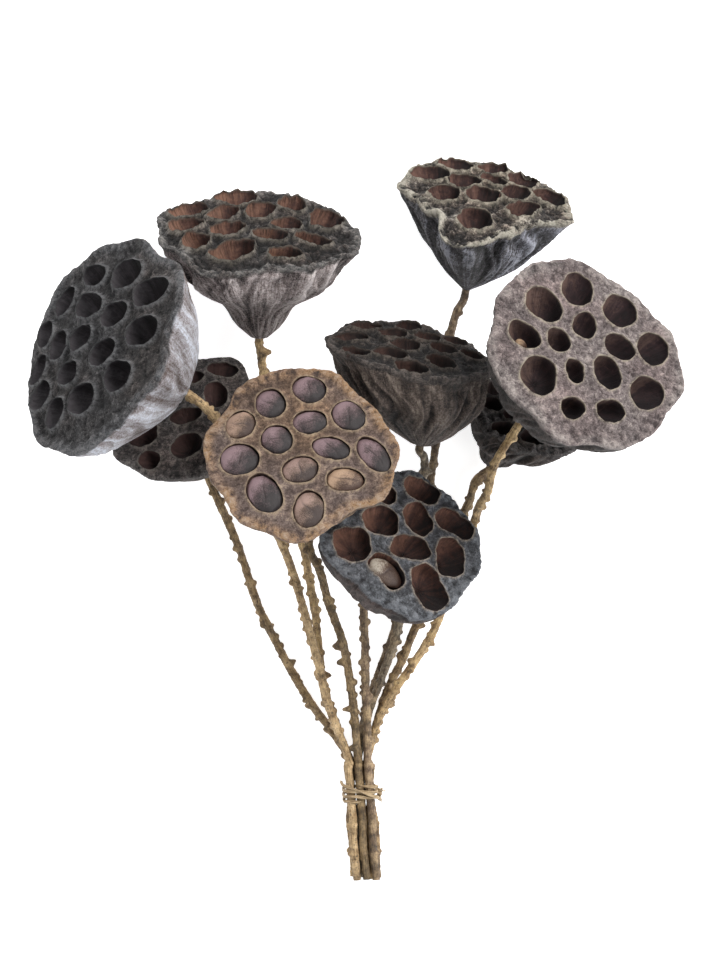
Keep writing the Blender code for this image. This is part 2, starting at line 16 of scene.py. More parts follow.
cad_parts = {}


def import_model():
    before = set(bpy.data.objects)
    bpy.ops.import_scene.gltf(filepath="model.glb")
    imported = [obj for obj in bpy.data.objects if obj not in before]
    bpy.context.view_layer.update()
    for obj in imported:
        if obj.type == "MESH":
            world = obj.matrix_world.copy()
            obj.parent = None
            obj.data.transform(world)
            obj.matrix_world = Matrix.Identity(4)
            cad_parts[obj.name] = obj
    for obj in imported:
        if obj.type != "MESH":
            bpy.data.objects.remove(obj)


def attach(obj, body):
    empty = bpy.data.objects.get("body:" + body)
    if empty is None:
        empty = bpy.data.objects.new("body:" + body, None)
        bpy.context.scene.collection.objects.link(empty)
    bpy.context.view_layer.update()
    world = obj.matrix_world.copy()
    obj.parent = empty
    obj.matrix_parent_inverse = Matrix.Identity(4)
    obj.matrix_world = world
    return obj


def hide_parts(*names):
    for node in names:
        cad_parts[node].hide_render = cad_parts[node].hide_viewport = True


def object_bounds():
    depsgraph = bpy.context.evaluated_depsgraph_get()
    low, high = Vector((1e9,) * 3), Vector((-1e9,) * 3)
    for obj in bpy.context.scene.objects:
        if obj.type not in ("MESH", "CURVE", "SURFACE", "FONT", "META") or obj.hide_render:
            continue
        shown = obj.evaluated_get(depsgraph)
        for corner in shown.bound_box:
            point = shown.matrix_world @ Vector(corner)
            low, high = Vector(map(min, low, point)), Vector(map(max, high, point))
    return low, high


MM = 0.001
# Where the bunch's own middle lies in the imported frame.
BUNCH_PLACE = Vector((0.836, 0.322, 0))

CAMERA_PLACE = (3.3, 18.9, 1500.0)
CAMERA_LENS = 112.5
SENSOR = 36.0
FLOOR_GLOW = 0.75

HEAD_SIDES = 288
WALL_RINGS = 54
# Steps by which the rim rolls over: share of its radius, rise, and how far it has left the face's waves.
RIM_ROLL = ((0.981, 0.1, 0.1), (0.992, -0.05, 0.3), (0.999, -0.5, 0.6), (1.0, -1.2, 1.0))
# How far down from face to stem each ring of a head lies, and how wide it is there against the rim.
WALLS = {
    "flask": ((0.0, 1.0), (0.17, 0.93), (0.38, 0.76), (0.62, 0.39), (0.86, 0.215), (1.0, 0.06)),
    "cup": ((0.0, 1.0), (0.18, 0.95), (0.42, 0.77), (0.72, 0.47), (1.0, 0.04)),
    "bowl": ((0.0, 1.0), (0.26, 0.96), (0.54, 0.79), (0.8, 0.45), (1.0, 0.1)),
    "funnel": ((0.0, 1.0), (0.16, 0.91), (0.42, 0.71), (0.72, 0.41), (1.0, 0.0)),
}
# Waves round a head, and how deep they are all together against its radius.
HEAD_WAVES = (4, 7, 11)
WAVE_DEPTH = 0.028
OUTLINE_FADE = 1.5
RIM_WAVE = 1.3
FACE_DOME = 2.5
NECK_RADIUS = 2.7
FACE_SHARE = 0.968
FACE_STEP = 0.95
FACE_JITTER = 0.22
FACE_GRAIN = 0.9
RAGGED = 1.1
# Relief of the face: size of swells, crumbs, folds and crust, reach of lips and sags, width of folds.
SWELL_SIZE = 9.0
CRUMB_SIZE = 2.4
FOLD_SIZE = 5.0
CRUST_SIZE = 3.2
LIP_REACH = 0.9
SAG_REACH = 2.0
FOLD_WIDTH = 0.09
FOLD_SHADOW = 0.12
# Relief of the wall: how deep each kind of fold is against the radius, and how many lie round the head.
FOLD, FOLD_COUNT = 0.05, 2.1
PLEAT, PLEAT_COUNT = 0.04, 4.6
CREASE, CREASE_COUNT = 0.017, 9.5
WRINKLE, WRINKLE_COUNT = 0.009, 17

PIT_SIDES = 44
PIT_LEVELS = 13
PIT_SHOULDER = 2.0
PIT_MARGIN = 3.2
PIT_WALL = 1.8
SETTLE_ROUNDS = 60
PIT_NARROWING = 0.75
PIT_BULGE = 0.03
PIT_STRAIGHT = 0.16
PIT_ROUNDNESS = 2.3
PIT_GRAIN_SHIFT = 40
# Closer rings of points round each pit, and the clear space that they need.
PIT_RINGS = (0.6, 1.25)
PIT_RING_SLACK = 0.08
PIT_CLEARANCE = 1.7
# Direction of the painted shade in pits and seeds, in the face's frame; the opposite side is painted as lit.
SHADED_SIDE = math.radians(-40)
SHADED_SIDES = {"a": math.radians(35), "b": math.radians(-15), "f": math.radians(-15)}

SEED_HALF_HEIGHT = 3.2
SEED_GAP = 0.55
SEED_SIDES = 56
SEED_LEVELS = 36

STEM_RADIUS = 2.15
STEM_STEP = 11.0
STEM_LEAD = 4.0
STEM_FINE_STEP = 0.6
STEM_SIDES = 24
STEM_OVERLAP = 2.0
SWAY = (1.2, -1.1, 0.0)
GAP = 0.35
NUB_SPACING = 13.5
NUB_SIZE = (1.45, 1.5)
NUB_SWELL = 1.6
NUB_SIGHT = 5.5

BUNDLE_X = 1.5
BUNDLE_PITCH = 4.75
BUNDLE_FLOOR = 4.0
BUNDLE_TOP_Y = -119.0
BUNDLE_END_Y = -179.0
BUNDLE_LEAN = 4.0

TIE_RADIUS = 0.85
TIE_TURNS = 3
TIE_Y = -133.0
TIE_PITCH = 2.6
TIE_SQUARENESS = 5
KNOT_TURNS = 1.25
TIE_CLEARANCE = 0.55
SLANT_START = 0.8
SLANT_TURN = 0.42
SLANT_RISE = 4.2
STRAND_RADIUS = 0.4
STRAND_SIDES = 10
TUCK = 2.2
TURN_STEPS = 60
SLANT_STEPS = 20
KNOT_STEPS = 72
KNOT_WIDTH = 0.52
KNOT_HEIGHT = 0.68
KNOT_DEPTH = 0.75
# Loose ends of the knot: reach, and how far each bends sideways.
LOOSE_ENDS = (((3.4, 0.3, 0.6), 0.1), ((1.4, -5.5, 0.3), 0.0), ((2.2, 1.8, 0.2), 0.2))
# Name, place in metres, width, power and colour of each soft light.
LIGHTS = (
    ("key", (0.9, 0.9, 1.4), 1.0, 34, (1.0, 0.98, 0.96)),
    ("fill", (1.3, -0.7, 0.9), 1.2, 12, (0.92, 0.96, 1.0)),
    ("left", (-1.3, 0.2, 1.2), 1.0, 7, (1.0, 0.99, 0.97)),
)
LIT_PLACE = (0, 0.03, 0.04)
SKY = (0.97, 0.98, 1.0, 1.0)
SKY_LIGHT = 0.5
FLOOR_HALF = 4


class Pod:
    """One head and its stem, from the middle of the face to the stem's place in the bundle."""

    def __init__(self, name, centre, normal, radius, neck, rim, pit_size, pits, route, slot,
                 wall="flask", seeds=()):
        self.name = name
        self.wall = WALLS[wall]
        self.centre = Vector(centre)
        self.normal = Vector(normal).normalized()
        self.radius = radius
        self.neck = Vector(neck)
        self.rim = rim
        self.pit_depth, growth = pit_size
        self.pits = [(way, reach, length * growth, width * growth, turn)
                     for way, reach, length, width, turn in pits]
        self.route = route
        self.slot = slot
        self.seeds = seeds
        self.shift = random.Random(name).uniform(0, math.tau)

    def matrix(self):
        """Frame of the face: its own Z is the normal and its own Y points up the bunch."""
        across = Vector((0, 1, 0)).cross(self.normal).normalized()
        up = self.normal.cross(across)
        turn = Matrix((across, up, self.normal)).transposed().to_4x4()
        return Matrix.Translation(self.centre) @ turn

    def neck_place(self):
        """The neck in the frame of the face."""
        return self.matrix().inverted() @ self.neck


# Rims: radius against the mean every 30 degrees from the face's own X.
# Pit size: depth, and how much wider the pits open at the lip than the bare sizes in the list.
# Pits: direction in degrees, distance from the middle, length, width, turn of the length.
# Seeds: the pit that holds one, its size against that pit, and how far it is lifted off the floor.
PODS = (
    Pod("a", (-120, 84, 88), (-0.70, 0.34, 0.63), 54.5, (-84, 62, 52),
        (0.97, 1.07, 0.95, 0.94, 0.98, 1.06, 0.98, 0.96, 1.02, 1.05, 0.96, 1.03), (12, 1.0),
        ((116, 37, 19, 11, 170), (76, 34, 22, 15, 5), (37, 38, 24, 15, 5), (149, 41, 16, 14, 40),
         (127, 22, 21, 13, 175), (54, 15, 19, 13, 10), (5, 34, 22, 15, 0), (174, 44, 15, 12, 120),
         (184, 29, 15, 14, 95), (176, 13, 17, 13, 20), (320, 11, 19, 13, 10), (199, 45, 16, 12, 95),
         (230, 22, 15, 12, 15), (322, 31, 21, 15, 175), (221, 42, 16, 14, 55), (246, 40, 16, 13, 85),
         (273, 30, 20, 15, 0)),
        ((-68, 49, 56), (-58, 30, 63.5), (-51, 17, 59), (-43, 3, 49), (-35, -14, 40), (-29, -31, 34),
         (-21, -61, 26), (-17, -76, 22), (-13.5, -92, 18)), (-1, 2), wall="cup"),
    Pod("b", (-48, 138.5, 48.49), (0.05, 0.89, 0.46), 50.5, (-47, 90, 25.49),
        (1.03, 1.01, 0.97, 1.1, 0.97, 1.02, 0.98, 0.97, 1.07, 0.96, 0.98, 1.05), (12, 1.0),
        ((100, 42, 22, 19, 40), (143, 41, 23, 16, 45), (130, 23, 20, 14, 55), (80, 22, 22, 15, 80),
         (57, 37, 21, 13, 90), (21, 38, 25, 16, 85), (175, 34, 18, 14, 30), (190, 14, 18, 15, 65),
         (15, 16, 16, 14, 40), (208, 34, 17, 14, 80), (245, 29, 24, 17, 55), (303, 11, 18, 11, 175),
         (333, 30, 18, 13, 150), (291, 33, 17, 12, 5)),
        ((-46.5, 82, 21), (-45.5, 72, 15), (-42, 50, 12), (-38, 20, 12), (-26, -14, 12), (-23, -29, 13),
         (-20, -46, 13), (-18, -66, 12), (-15, -86, 11), (-9, -104, 9.8)), (-1, 1)),
    Pod("c", (-82.5, 49.5, 36), (-0.19, 0.61, 0.77), 38, (-75, 25, 8),
        (0.95, 1.01, 1.05, 0.97, 0.98, 1.03, 1.04, 1.06, 1.02, 1.0, 1.02, 0.97), (9.5, 1.0),
        ((65, 34, 17, 9, 170), (90, 24, 12, 8, 165), (41, 18, 17, 12, 105), (297, 2, 17, 10, 15),
         (215, 23, 16, 14, 20), (283, 20, 16, 14, 45), (154, 19, 14, 12, 75), (346, 25, 15, 13, 80),
         (174, 31, 12, 11, 65), (121, 31, 14, 10, 170), (315, 32, 12, 10, 40), (245, 32, 12, 10, 150),
         (18, 33, 12, 10, 110)),
        ((-68, 8, 4.6), (-58, -15, 4.6), (-49, -42, 4.6), (-39, -63, 4.6), (-28, -83, 4.6),
         (-21, -94, 4.6), (-12, -106, 4.6)), (-1, 0)),
    Pod("d", (-25.5, 31.5, 105), (-0.02, 0.42, 0.91), 44.5, (-22, 11, 57),
        (1.05, 0.97, 0.97, 1.0, 1.03, 0.98, 1.01, 1.0, 0.99, 1.02, 0.9, 1.02), (8.5, 1.04),
        ((83, 32, 16, 14, 160), (120, 28, 15, 14, 105), (39, 29, 17, 14, 135), (154, 31, 15, 13, 45),
         (72, 15, 16, 12, 5), (153, 12, 15, 14, 145), (4, 15, 18, 11, 165), (357, 34, 20, 12, 130),
         (190, 28, 18, 16, 170), (273, 10, 17, 13, 15), (325, 26, 17, 12, 175), (233, 27, 20, 15, 120),
         (279, 30, 18, 14, 85)),
        ((-22, 0, 48), (-22, -15, 43), (-17, -26, 38), (-13, -41, 33), (-6, -61, 28), (-3.5, -74, 24),
         (-1, -91, 19.5)), (0, 2), seeds=tuple((number, 0.98, 3.0) for number in range(13))),
    Pod("e", (27, 81, 60), (0.16, 0.93, 0.34), 41.5, (32, 37, 44),
        (0.93, 0.98, 0.99, 0.98, 1.0, 0.99, 1.06, 0.99, 0.93, 1.02, 1.0, 0.94), (11, 1.18),
        ((105, 35, 15, 11, 15), (152, 29, 15, 12, 35), (85, 22, 14, 11, 45), (120, 8, 14, 12, 50),
         (45, 26, 14, 11, 60), (208, 17, 15, 11, 175), (285, 22, 14, 11, 95), (8, 21, 13, 11, 75),
         (68, 38, 13, 10, 30), (25, 37, 13, 10, 65), (340, 31, 13, 10, 75), (245, 33, 14, 10, 150),
         (195, 35, 12, 10, 100)),
        ((33.5, 30, 39), (34, 23, 35), (32, 17, 30), (29, -6, 23), (25, -30, 17), (22, -52, 13.5),
         (17, -69, 11.8), (12, -83, 10.5), (7, -96, 9.6)), (0, 1), wall="bowl"),
    Pod("f", (64, 154.5, 38.97), (0.13, 0.85, 0.51), 42, (55, 113.5, 17.97),
        (1.02, 1.06, 1.06, 1.1, 1.12, 1.11, 0.86, 0.86, 1.3, 0.86, 0.72, 1.04), (8.5, 1.2),
        ((127, 38, 15, 12, 150), (97, 37, 15, 12, 0), (70, 39, 13, 11, 5), (112, 21, 14, 12, 20),
         (70, 25, 11, 9, 140), (43, 38, 15, 13, 50), (35, 21, 14, 12, 60), (165, 20, 15, 12, 85),
         (30, 4, 15, 13, 40), (243, 27, 17, 13, 60), (5, 35, 15, 12, 100), (330, 17, 15, 11, 30)),
        ((53.5, 107, 13), (50.5, 102, 12), (48.5, 95, 11), (47, 88, 10), (42, 50, 9), (37, 15, 8.5),
         (31, -15, 7), (21, -52, 5.4), (11, -80, 4.8), (5.5, -97, 4.6)), (0, 0), wall="funnel"),
    Pod("g", (107, 77, 108), (0.38, 0.45, 0.81), 50.5, (82, 49.5, 60),
        (1.01, 0.98, 1.0, 1.02, 1.01, 0.96, 0.97, 1.01, 1.02, 0.97, 0.98, 1.0), (12, 1.0),
        ((124, 30, 20, 17, 130), (84, 34, 20, 16, 50), (44, 33, 20, 17, 45), (164, 32, 17, 13, 140),
         (157, 15, 13, 12, 80), (82, 14, 16, 12, 50), (6, 17, 16, 14, 135), (4, 36, 19, 16, 45),
         (204, 31, 21, 18, 65), (228, 14, 13, 10, 80), (310, 13, 18, 14, 100), (322, 34, 20, 16, 40),
         (243, 33, 13, 11, 35), (279, 31, 15, 12, 10)),
        ((75, 39.5, 61), (69, 30, 62), (66, 23, 58), (64, 13, 51), (60.5, 6, 43), (58, -2, 36),
         (50, -25, 27), (40, -53, 21), (36, -61, 19), (29, -72, 16.5), (22, -82, 14.5), (16, -92, 12.5),
         (11, -102, 11)), (1, 1), seeds=((3, 0.36, 0.8),)),
    Pod("h", (84, 51, 30), (0.22, 0.74, 0.64), 34, (68, 27.5, 8),
        (1.08, 1.08, 1.0, 0.9, 0.84, 0.78, 0.78, 0.86, 0.9, 0.9, 0.93, 1.02), (9, 1.15),
        ((268, 19, 15, 10, 5), (185, 15, 14, 9, 25), (345, 22, 13, 9, 15), (35, 8, 13, 9, 20),
         (78, 20, 13, 9, 15), (35, 28, 12, 9, 15), (130, 23, 12, 9, 30), (215, 28, 11, 9, 150),
         (168, 29, 10, 9, 80), (310, 27, 10, 9, 50), (5, 33, 9, 9, 80)),
        ((60, 18, 6.5), (57, 8, 6), (54, 2, 6), (42, -27, 6), (31, -53, 6), (27, -62, 5.8), (24, -70, 5.4),
         (19, -80, 5), (14, -92, 4.6)), (1, 0)),
    Pod("i", (24.5, -12, 68), (0.29, 0.42, 0.86), 38.5, (6, -37, 34),
        (1.0, 0.99, 1.03, 1.02, 0.95, 0.95, 1.11, 0.97, 0.92, 1.03, 1.01, 0.98), (10, 1.0),
        ((66, 31, 18, 13, 155), (130, 18, 18, 15, 175), (62, 17, 17, 14, 120), (21, 28, 20, 13, 140),
         (180, 27, 19, 17, 0), (324, 2, 19, 13, 175), (339, 22, 20, 15, 85), (229, 19, 20, 13, 130),
         (288, 25, 23, 16, 110), (111, 32, 14, 12, 155)),
        ((4.3, -51, 28), (5, -61, 26), (5, -71, 24), (5.3, -88, 19.7), (6, -100, 17)), (1, 2),
        seeds=((7, 0.9, 2.2),)),
)

# Big buds on some stems: place seen from above, length and thickness.
BUDS = {
    "b": ((-43, 81.5, 3.2, 1.9), (-13.4, -78, 2.2, 1.6)),
    "d": ((-22.8, -66.9, 2.8, 2.0), (-12.9, -72, 3.0, 1.7), (-10.9, -115, 2.6, 1.5),
          (-8.9, -95, 3.6, 1.3)),
}


@dataclass
class Look:
    """Colours of a head, and how crumpled, crusty, sharp-lipped, folded and streaked it is."""

    slot: str
    face: tuple
    tint: tuple
    cone: tuple
    pit: tuple
    lip: tuple
    rim: tuple
    crumple: float
    crust: float
    lip_height: float
    lip_width: float
    corners: float
    uneven: float
    sag: float
    folds: float
    streaks: float
    gape: float = 0.985
    slope: float = 0.0


# Faces and cones: dark, middle and light. Pits: painted lit side, middle and painted shaded side. Tint: hue
# of patches.
# Gape: how wide the pits open against their sizes. Side light: painted light that makes the wall paler at
# the right.
LOOKS = {
    "a": Look("dark_head", ((20, 19, 21), (62, 61, 63), (118, 117, 118)), (92, 80, 74),
              ((92, 76, 70), (158, 152, 154), (214, 218, 228)),
              ((92, 88, 92), (44, 38, 42), (14, 11, 13)), (116, 117, 119), (74, 75, 78),
              crumple=0.6, crust=0.9, lip_height=1.2, lip_width=1.15, corners=2.3, uneven=0.05, sag=1.2,
              folds=0.8, streaks=0.25),
    "b": Look("brown_head", ((22, 19, 19), (68, 63, 61), (138, 133, 128)), (96, 78, 70),
              ((50, 42, 41), (152, 139, 136), (236, 226, 224)),
              ((158, 118, 98), (96, 66, 58), (26, 15, 15)), (136, 128, 116), (86, 85, 84),
              crumple=1.6, crust=1.9, lip_height=1.5, lip_width=0.8, corners=2.3, uneven=0.09, sag=1.9,
              folds=1.9, streaks=0.8, gape=1.02, slope=0.14),
    "c": Look("dark_head", ((20, 17, 18), (68, 62, 61), (128, 122, 118)), (94, 80, 74),
              ((40, 35, 34), (70, 63, 60), (112, 104, 98)),
              ((96, 70, 66), (50, 32, 32), (16, 10, 11)), (124, 118, 110), (72, 68, 66),
              crumple=0.7, crust=0.9, lip_height=0.8, lip_width=0.7, corners=2.2, uneven=0.05, sag=0.8,
              folds=1.1, streaks=0.3),
    "d": Look("tan_head", ((88, 73, 68), (128, 110, 103), (178, 158, 140)), (164, 126, 90),
              ((56, 44, 38), (98, 78, 62), (146, 120, 92)),
              ((100, 76, 64), (52, 36, 32), (22, 14, 14)), (184, 162, 134), (166, 130, 92),
              crumple=0.6, crust=1.3, lip_height=0.5, lip_width=0.8, corners=2.1, uneven=0.03, sag=1.1,
              folds=0.9, streaks=0.2),
    "e": Look("dark_head", ((10, 8, 8), (44, 38, 36), (104, 95, 89)), (80, 66, 56),
              ((26, 20, 17), (78, 66, 59), (134, 121, 110)),
              ((84, 58, 50), (42, 26, 23), (12, 7, 8)), (98, 89, 80), (66, 59, 55),
              crumple=1.3, crust=1.4, lip_height=1.0, lip_width=0.7, corners=2.2, uneven=0.06, sag=1.4,
              folds=1.8, streaks=0.5, gape=1.02, slope=-0.12),
    "f": Look("grey_head", ((24, 18, 18), (94, 85, 79), (196, 190, 178)), (124, 104, 88),
              ((16, 13, 14), (80, 78, 82), (176, 178, 190)),
              ((136, 102, 90), (72, 48, 45), (20, 12, 12)), (176, 168, 150), (166, 161, 146),
              crumple=1.6, crust=2.0, lip_height=1.4, lip_width=0.8, corners=2.3, uneven=0.08, sag=1.5,
              folds=1.9, streaks=0.6, gape=1.02, slope=0.32),
    "g": Look("grey_head", ((76, 66, 66), (120, 110, 108), (172, 162, 156)), (132, 112, 110),
              ((22, 18, 17), (48, 42, 40), (84, 76, 72)),
              ((124, 98, 88), (64, 44, 46), (28, 15, 19)), (180, 168, 146), (126, 117, 114),
              crumple=0.7, crust=1.3, lip_height=0.5, lip_width=0.55, corners=2.2, uneven=0.045, sag=0.5,
              folds=1.1, streaks=0.2),
    "h": Look("dark_head", ((14, 11, 11), (48, 42, 41), (104, 98, 96)), (76, 62, 56),
              ((24, 17, 16), (50, 41, 37), (88, 77, 71)),
              ((66, 44, 40), (32, 20, 19), (10, 6, 7)), (96, 89, 82), (72, 68, 66),
              crumple=1.5, crust=2.0, lip_height=0.9, lip_width=0.7, corners=2.2, uneven=0.07, sag=1.1,
              folds=1.5, streaks=0.4),
    "i": Look("slate_head", ((50, 50, 54), (84, 86, 90), (128, 131, 136)), (84, 84, 90),
              ((30, 22, 21), (58, 46, 43), (90, 76, 72)),
              ((140, 98, 80), (84, 54, 46), (26, 14, 14)), (176, 160, 142), (96, 99, 104),
              crumple=0.9, crust=1.9, lip_height=0.45, lip_width=0.5, corners=2.7, uneven=0.07, sag=0.6,
              folds=0.8, streaks=0.75),
}

# Stem colours from dark to light.
STEM_LOOKS = {
    "a": ((84, 64, 42), (158, 129, 90), (216, 188, 146)),
    "b": ((78, 61, 39), (148, 121, 83), (212, 184, 136)),
    "c": ((60, 46, 30), (122, 98, 66), (184, 157, 116)),
    "d": ((52, 41, 27), (108, 88, 59), (174, 148, 108)),
    "e": ((48, 42, 35), (102, 90, 74), (170, 155, 131)),
    "f": ((44, 34, 26), (94, 76, 58), (162, 141, 113)),
    "g": ((70, 53, 34), (146, 117, 78), (214, 184, 134)),
    "h": ((56, 43, 30), (118, 94, 65), (186, 158, 117)),
    "i": ((54, 40, 31), (110, 88, 67), (178, 153, 120)),
}
STEM_TINT = (108, 91, 66)
STEM_TIP = (84, 62, 46)
STEM_SPECK = (40, 31, 23)
# Seed colours from the painted lit side to the painted shaded one, and how tan or capped with white single
# seeds are.
SEED_SKIN = ((132, 110, 114), (78, 62, 63), (30, 23, 24))
SEED_TAN = ((182, 152, 122), (76, 54, 42))
SEED_CAP = (176, 168, 154)
SEED_BROWN = (52, 35, 27)
SEED_CREASE = (44, 33, 33)
TAN_SEEDS = {("d", 3): 0.55, ("d", 10): 0.8, ("d", 12): 0.35, ("d", 9): 0.3, ("g", 3): 1.0, ("i", 7): 0.6}
CAPPED_SEEDS = {("i", 7): 1.0}
STRAW = ((104, 84, 60), (160, 136, 102), (212, 192, 158))

# Noises of the surfaces: scale, octaves, roughness and swirl.
CLOUD = (22.0, 3.0, 0.5)
BLOTCH = (75.0, 5.0, 0.6, 0.8)
CRUMB = (420.0, 6.0, 0.75, 0.6)
SPECK = (1300.0, 3.0, 0.7)
STREAK = (1.2, 6.0, 0.68)
COARSE_STREAK = (0.2, 4.0, 0.6, 0.6)
SEED_CLOUD = (160.0, 4.0, 0.6)
SEED_WRINKLE = (1.4, 5.0, 0.6)
STEM_FIBRE = (1.5, 5.0, 0.65)
STEM_PATCH = (170.0, 5.0, 0.65)
STEM_CLOUD = (60.0, 2.0, 0.5)
STEM_CRUMB = (620.0, 4.0, 0.7)
STRAW_FIBRE = (3.0, 5.0, 0.6)
STRAW_PATCH = (240.0, 3.0, 0.5)
# Where the ramps of the surfaces change colour.
FACE_STOPS = (0.4, 0.49, 0.58)
CRUST_STOPS = (0.4, 0.49, 0.6)
WALL_STOPS = (0.02, 0.36, 0.76)
PIT_STOPS = (0.08, 0.5, 0.86)
SEED_STOPS = (0.2, 0.48, 0.7)
STEM_STOPS = (0.41, 0.49, 0.59)
STRAW_STOPS = (0.36, 0.5, 0.64)
# How far fine grit and the streaks of a wall shift its colour, and how strong the tint of a face is.
GRIT = 0.22
STREAK_SWING = 0.18
FACE_TINT = 0.6

# The shade, ridge and hollow marks carry painted light and shade.
HEAD_MARKS = ("lip", "rim", "pit", "deep", "shade", "wall", "ridge", "hollow")
SEED_MARKS = ("tan", "cap", "crease", "shade")


def linear(colour):
    """Colour as the renderer takes it, from values of 0 to 255 as seen on a screen."""
    parts = [value / 255 for value in colour]
    return tuple(part / 12.92 if part <= 0.04045 else ((part + 0.055) / 1.055) ** 2.4 for part in parts)


class Surface:
    """A procedural material built up step by step."""

    def __init__(self, name):
        self.material = bpy.data.materials.new(name)
        self.material.use_nodes = True
        self.tree = self.material.node_tree
        self.shader = self.tree.nodes["Principled BSDF"]

    def node(self, kind, **settings):
        made = self.tree.nodes.new(kind)
        for name, value in settings.items():
            setattr(made, name, value)
        return made

    def feed(self, socket, value):
        if isinstance(value, bpy.types.NodeSocket):
            self.tree.links.new(value, socket)
        elif isinstance(value, tuple):
            socket.default_value = (*linear(value), 1.0)
        else:
            socket.default_value = value

    def mark(self, name, output="Fac"):
        return self.node("ShaderNodeAttribute", attribute_name=name).outputs[output]

    def place(self):
        return self.node("ShaderNodeTexCoord").outputs["Object"]

    def noise(self, where, scale, detail=4.0, roughness=0.55, swirl=0.0):
        made = self.node("ShaderNodeTexNoise")
        self.feed(made.inputs["Distortion"], swirl)
        self.feed(made.inputs["Vector"], where)
        self.feed(made.inputs["Scale"], scale)
        self.feed(made.inputs["Detail"], detail)
        self.feed(made.inputs["Roughness"], roughness)
        return made.outputs["Fac"]

    def grade(self, value, low, high, new_low=0.0, new_high=1.0):
        made = self.node("ShaderNodeMapRange")
        for name, amount in (("Value", value), ("From Min", low), ("From Max", high), ("To Min", new_low),
                             ("To Max", new_high)):
            self.feed(made.inputs[name], amount)
        return made.outputs["Result"]

    def work_out(self, kind, first, second):
        made = self.node("ShaderNodeMath", operation=kind)
        self.feed(made.inputs[0], first)
        self.feed(made.inputs[1], second)
        return made.outputs[0]

    def times(self, first, second):
        return self.work_out("MULTIPLY", first, second)

    def weighed(self, *parts):
        """Sum of values, each given with its weight."""
        total = None
        for value, weight in parts:
            part = value if weight == 1 else self.times(value, weight)
            total = part if total is None else self.work_out("ADD", total, part)
        return total

    def mix(self, share, first, second, blend="MIX"):
        made = self.node("ShaderNodeMix", data_type="RGBA", blend_type=blend)
        for socket, value in ((made.inputs[0], share), (made.inputs[6], first), (made.inputs[7], second)):
            self.feed(socket, value)
        return made.outputs[2]

    def ramp(self, value, stops, colours):
        made = self.node("ShaderNodeValToRGB")
        self.feed(made.inputs["Fac"], value)
        points = made.color_ramp.elements
        while len(points) < len(stops):
            points.new(0.5)
        for point, place, colour in zip(points, stops, colours):
            point.position = place
            point.color = (*linear(colour), 1.0)
        return made.outputs["Color"]

    def finish(self, colour, roughness, height, depth, strength=0.6):
        bump = self.node("ShaderNodeBump")
        self.feed(bump.inputs["Strength"], strength)
        self.feed(bump.inputs["Distance"], depth * MM)
        self.feed(bump.inputs["Height"], height)
        self.feed(self.shader.inputs["Base Color"], colour)
        self.feed(self.shader.inputs["Roughness"], roughness)
        self.feed(self.shader.inputs["Normal"], bump.outputs["Normal"])
        return self.material


def head_material(name, look):
    """Dried head: grainy mottled face, thin pale lips, streaked pits and a folded wall, with painted light
    on ridges and painted shade in hollows and on one side of each pit.
    """
    made = Surface(name)
    place = made.place()
    grain = made.mark("grain", "Vector")
    lip, rim, pitted, deep, side, walled, ridge, hollow = (made.mark(mark) for mark in HEAD_MARKS)
    cloud, blotch, crumb, speck = (made.noise(place, *size) for size in (CLOUD, BLOTCH, CRUMB, SPECK))
    streak, coarse = (made.noise(grain, *size) for size in (STREAK, COARSE_STREAK))

    # Painted shade makes the face a little darker in its hollows.
    tone = made.weighed((blotch, 0.24), (crumb, 0.46), (speck, 0.3), (hollow, -0.14))
    face = made.ramp(tone, FACE_STOPS, look.face)
    tinted = made.mix(made.grade(cloud, 0.4, 0.6), face, look.tint, "COLOR")
    face = made.mix(FACE_TINT, face, tinted)
    crust = made.ramp(tone, CRUST_STOPS, (look.face[0], look.rim, look.face[2]))
    face = made.mix(made.times(rim, made.grade(blotch, 0.38, 0.54, 0.2, 1.0)), face, crust)

    swing = STREAK_SWING * look.streaks
    grit = made.grade(made.weighed((crumb, 1), (speck, 1)), 0.8, 1.2, -GRIT, GRIT)
    # The wall is painted paler on its ridges and towards its right, as painted light, over its own streaks
    # and grit.
    lit = made.weighed((ridge, 0.6), (made.grade(streak, 0.3, 0.7, -swing, 0.06 + swing), 1),
                       (made.grade(coarse, 0.34, 0.66, -GRIT, GRIT), 1), (grit, 1))
    base = made.mix(walled, face, made.ramp(lit, WALL_STOPS, look.cone))

    stain = made.grade(made.weighed((coarse, 1), (crumb, 1)), 0.8, 1.2, -GRIT, GRIT)
    # Pits are painted lighter on one side and in shade on the other.
    pit = made.ramp(made.weighed((side, 1), (stain, 1)), PIT_STOPS, look.pit)
    lines = made.times(made.grade(streak, 0.46, 0.62), made.grade(deep, 0.1, 0.85, look.streaks, 0.0))
    base = made.mix(pitted, base, made.mix(lines, pit, look.pit[2]))
    base = made.mix(made.times(lip, made.grade(crumb, 0.4, 0.56, 0.15, 1.0)), base, look.lip)

    # Painted shade: the colour is darkened in folds, sags and deep in the pits.
    dark = made.node("ShaderNodeVectorMath", operation="SCALE")
    made.feed(dark.inputs[0], base)
    made.feed(dark.inputs["Scale"], made.grade(hollow, 0.0, 1.0, 1.0, 0.35))
    height = made.weighed((streak, 1), (speck, 0.2), (crumb, 1))
    gloss = made.grade(crumb, 0.3, 0.7, 0.92, 0.66)
    return made.finish(dark.outputs["Vector"], gloss, height, 1.3, 1.0)


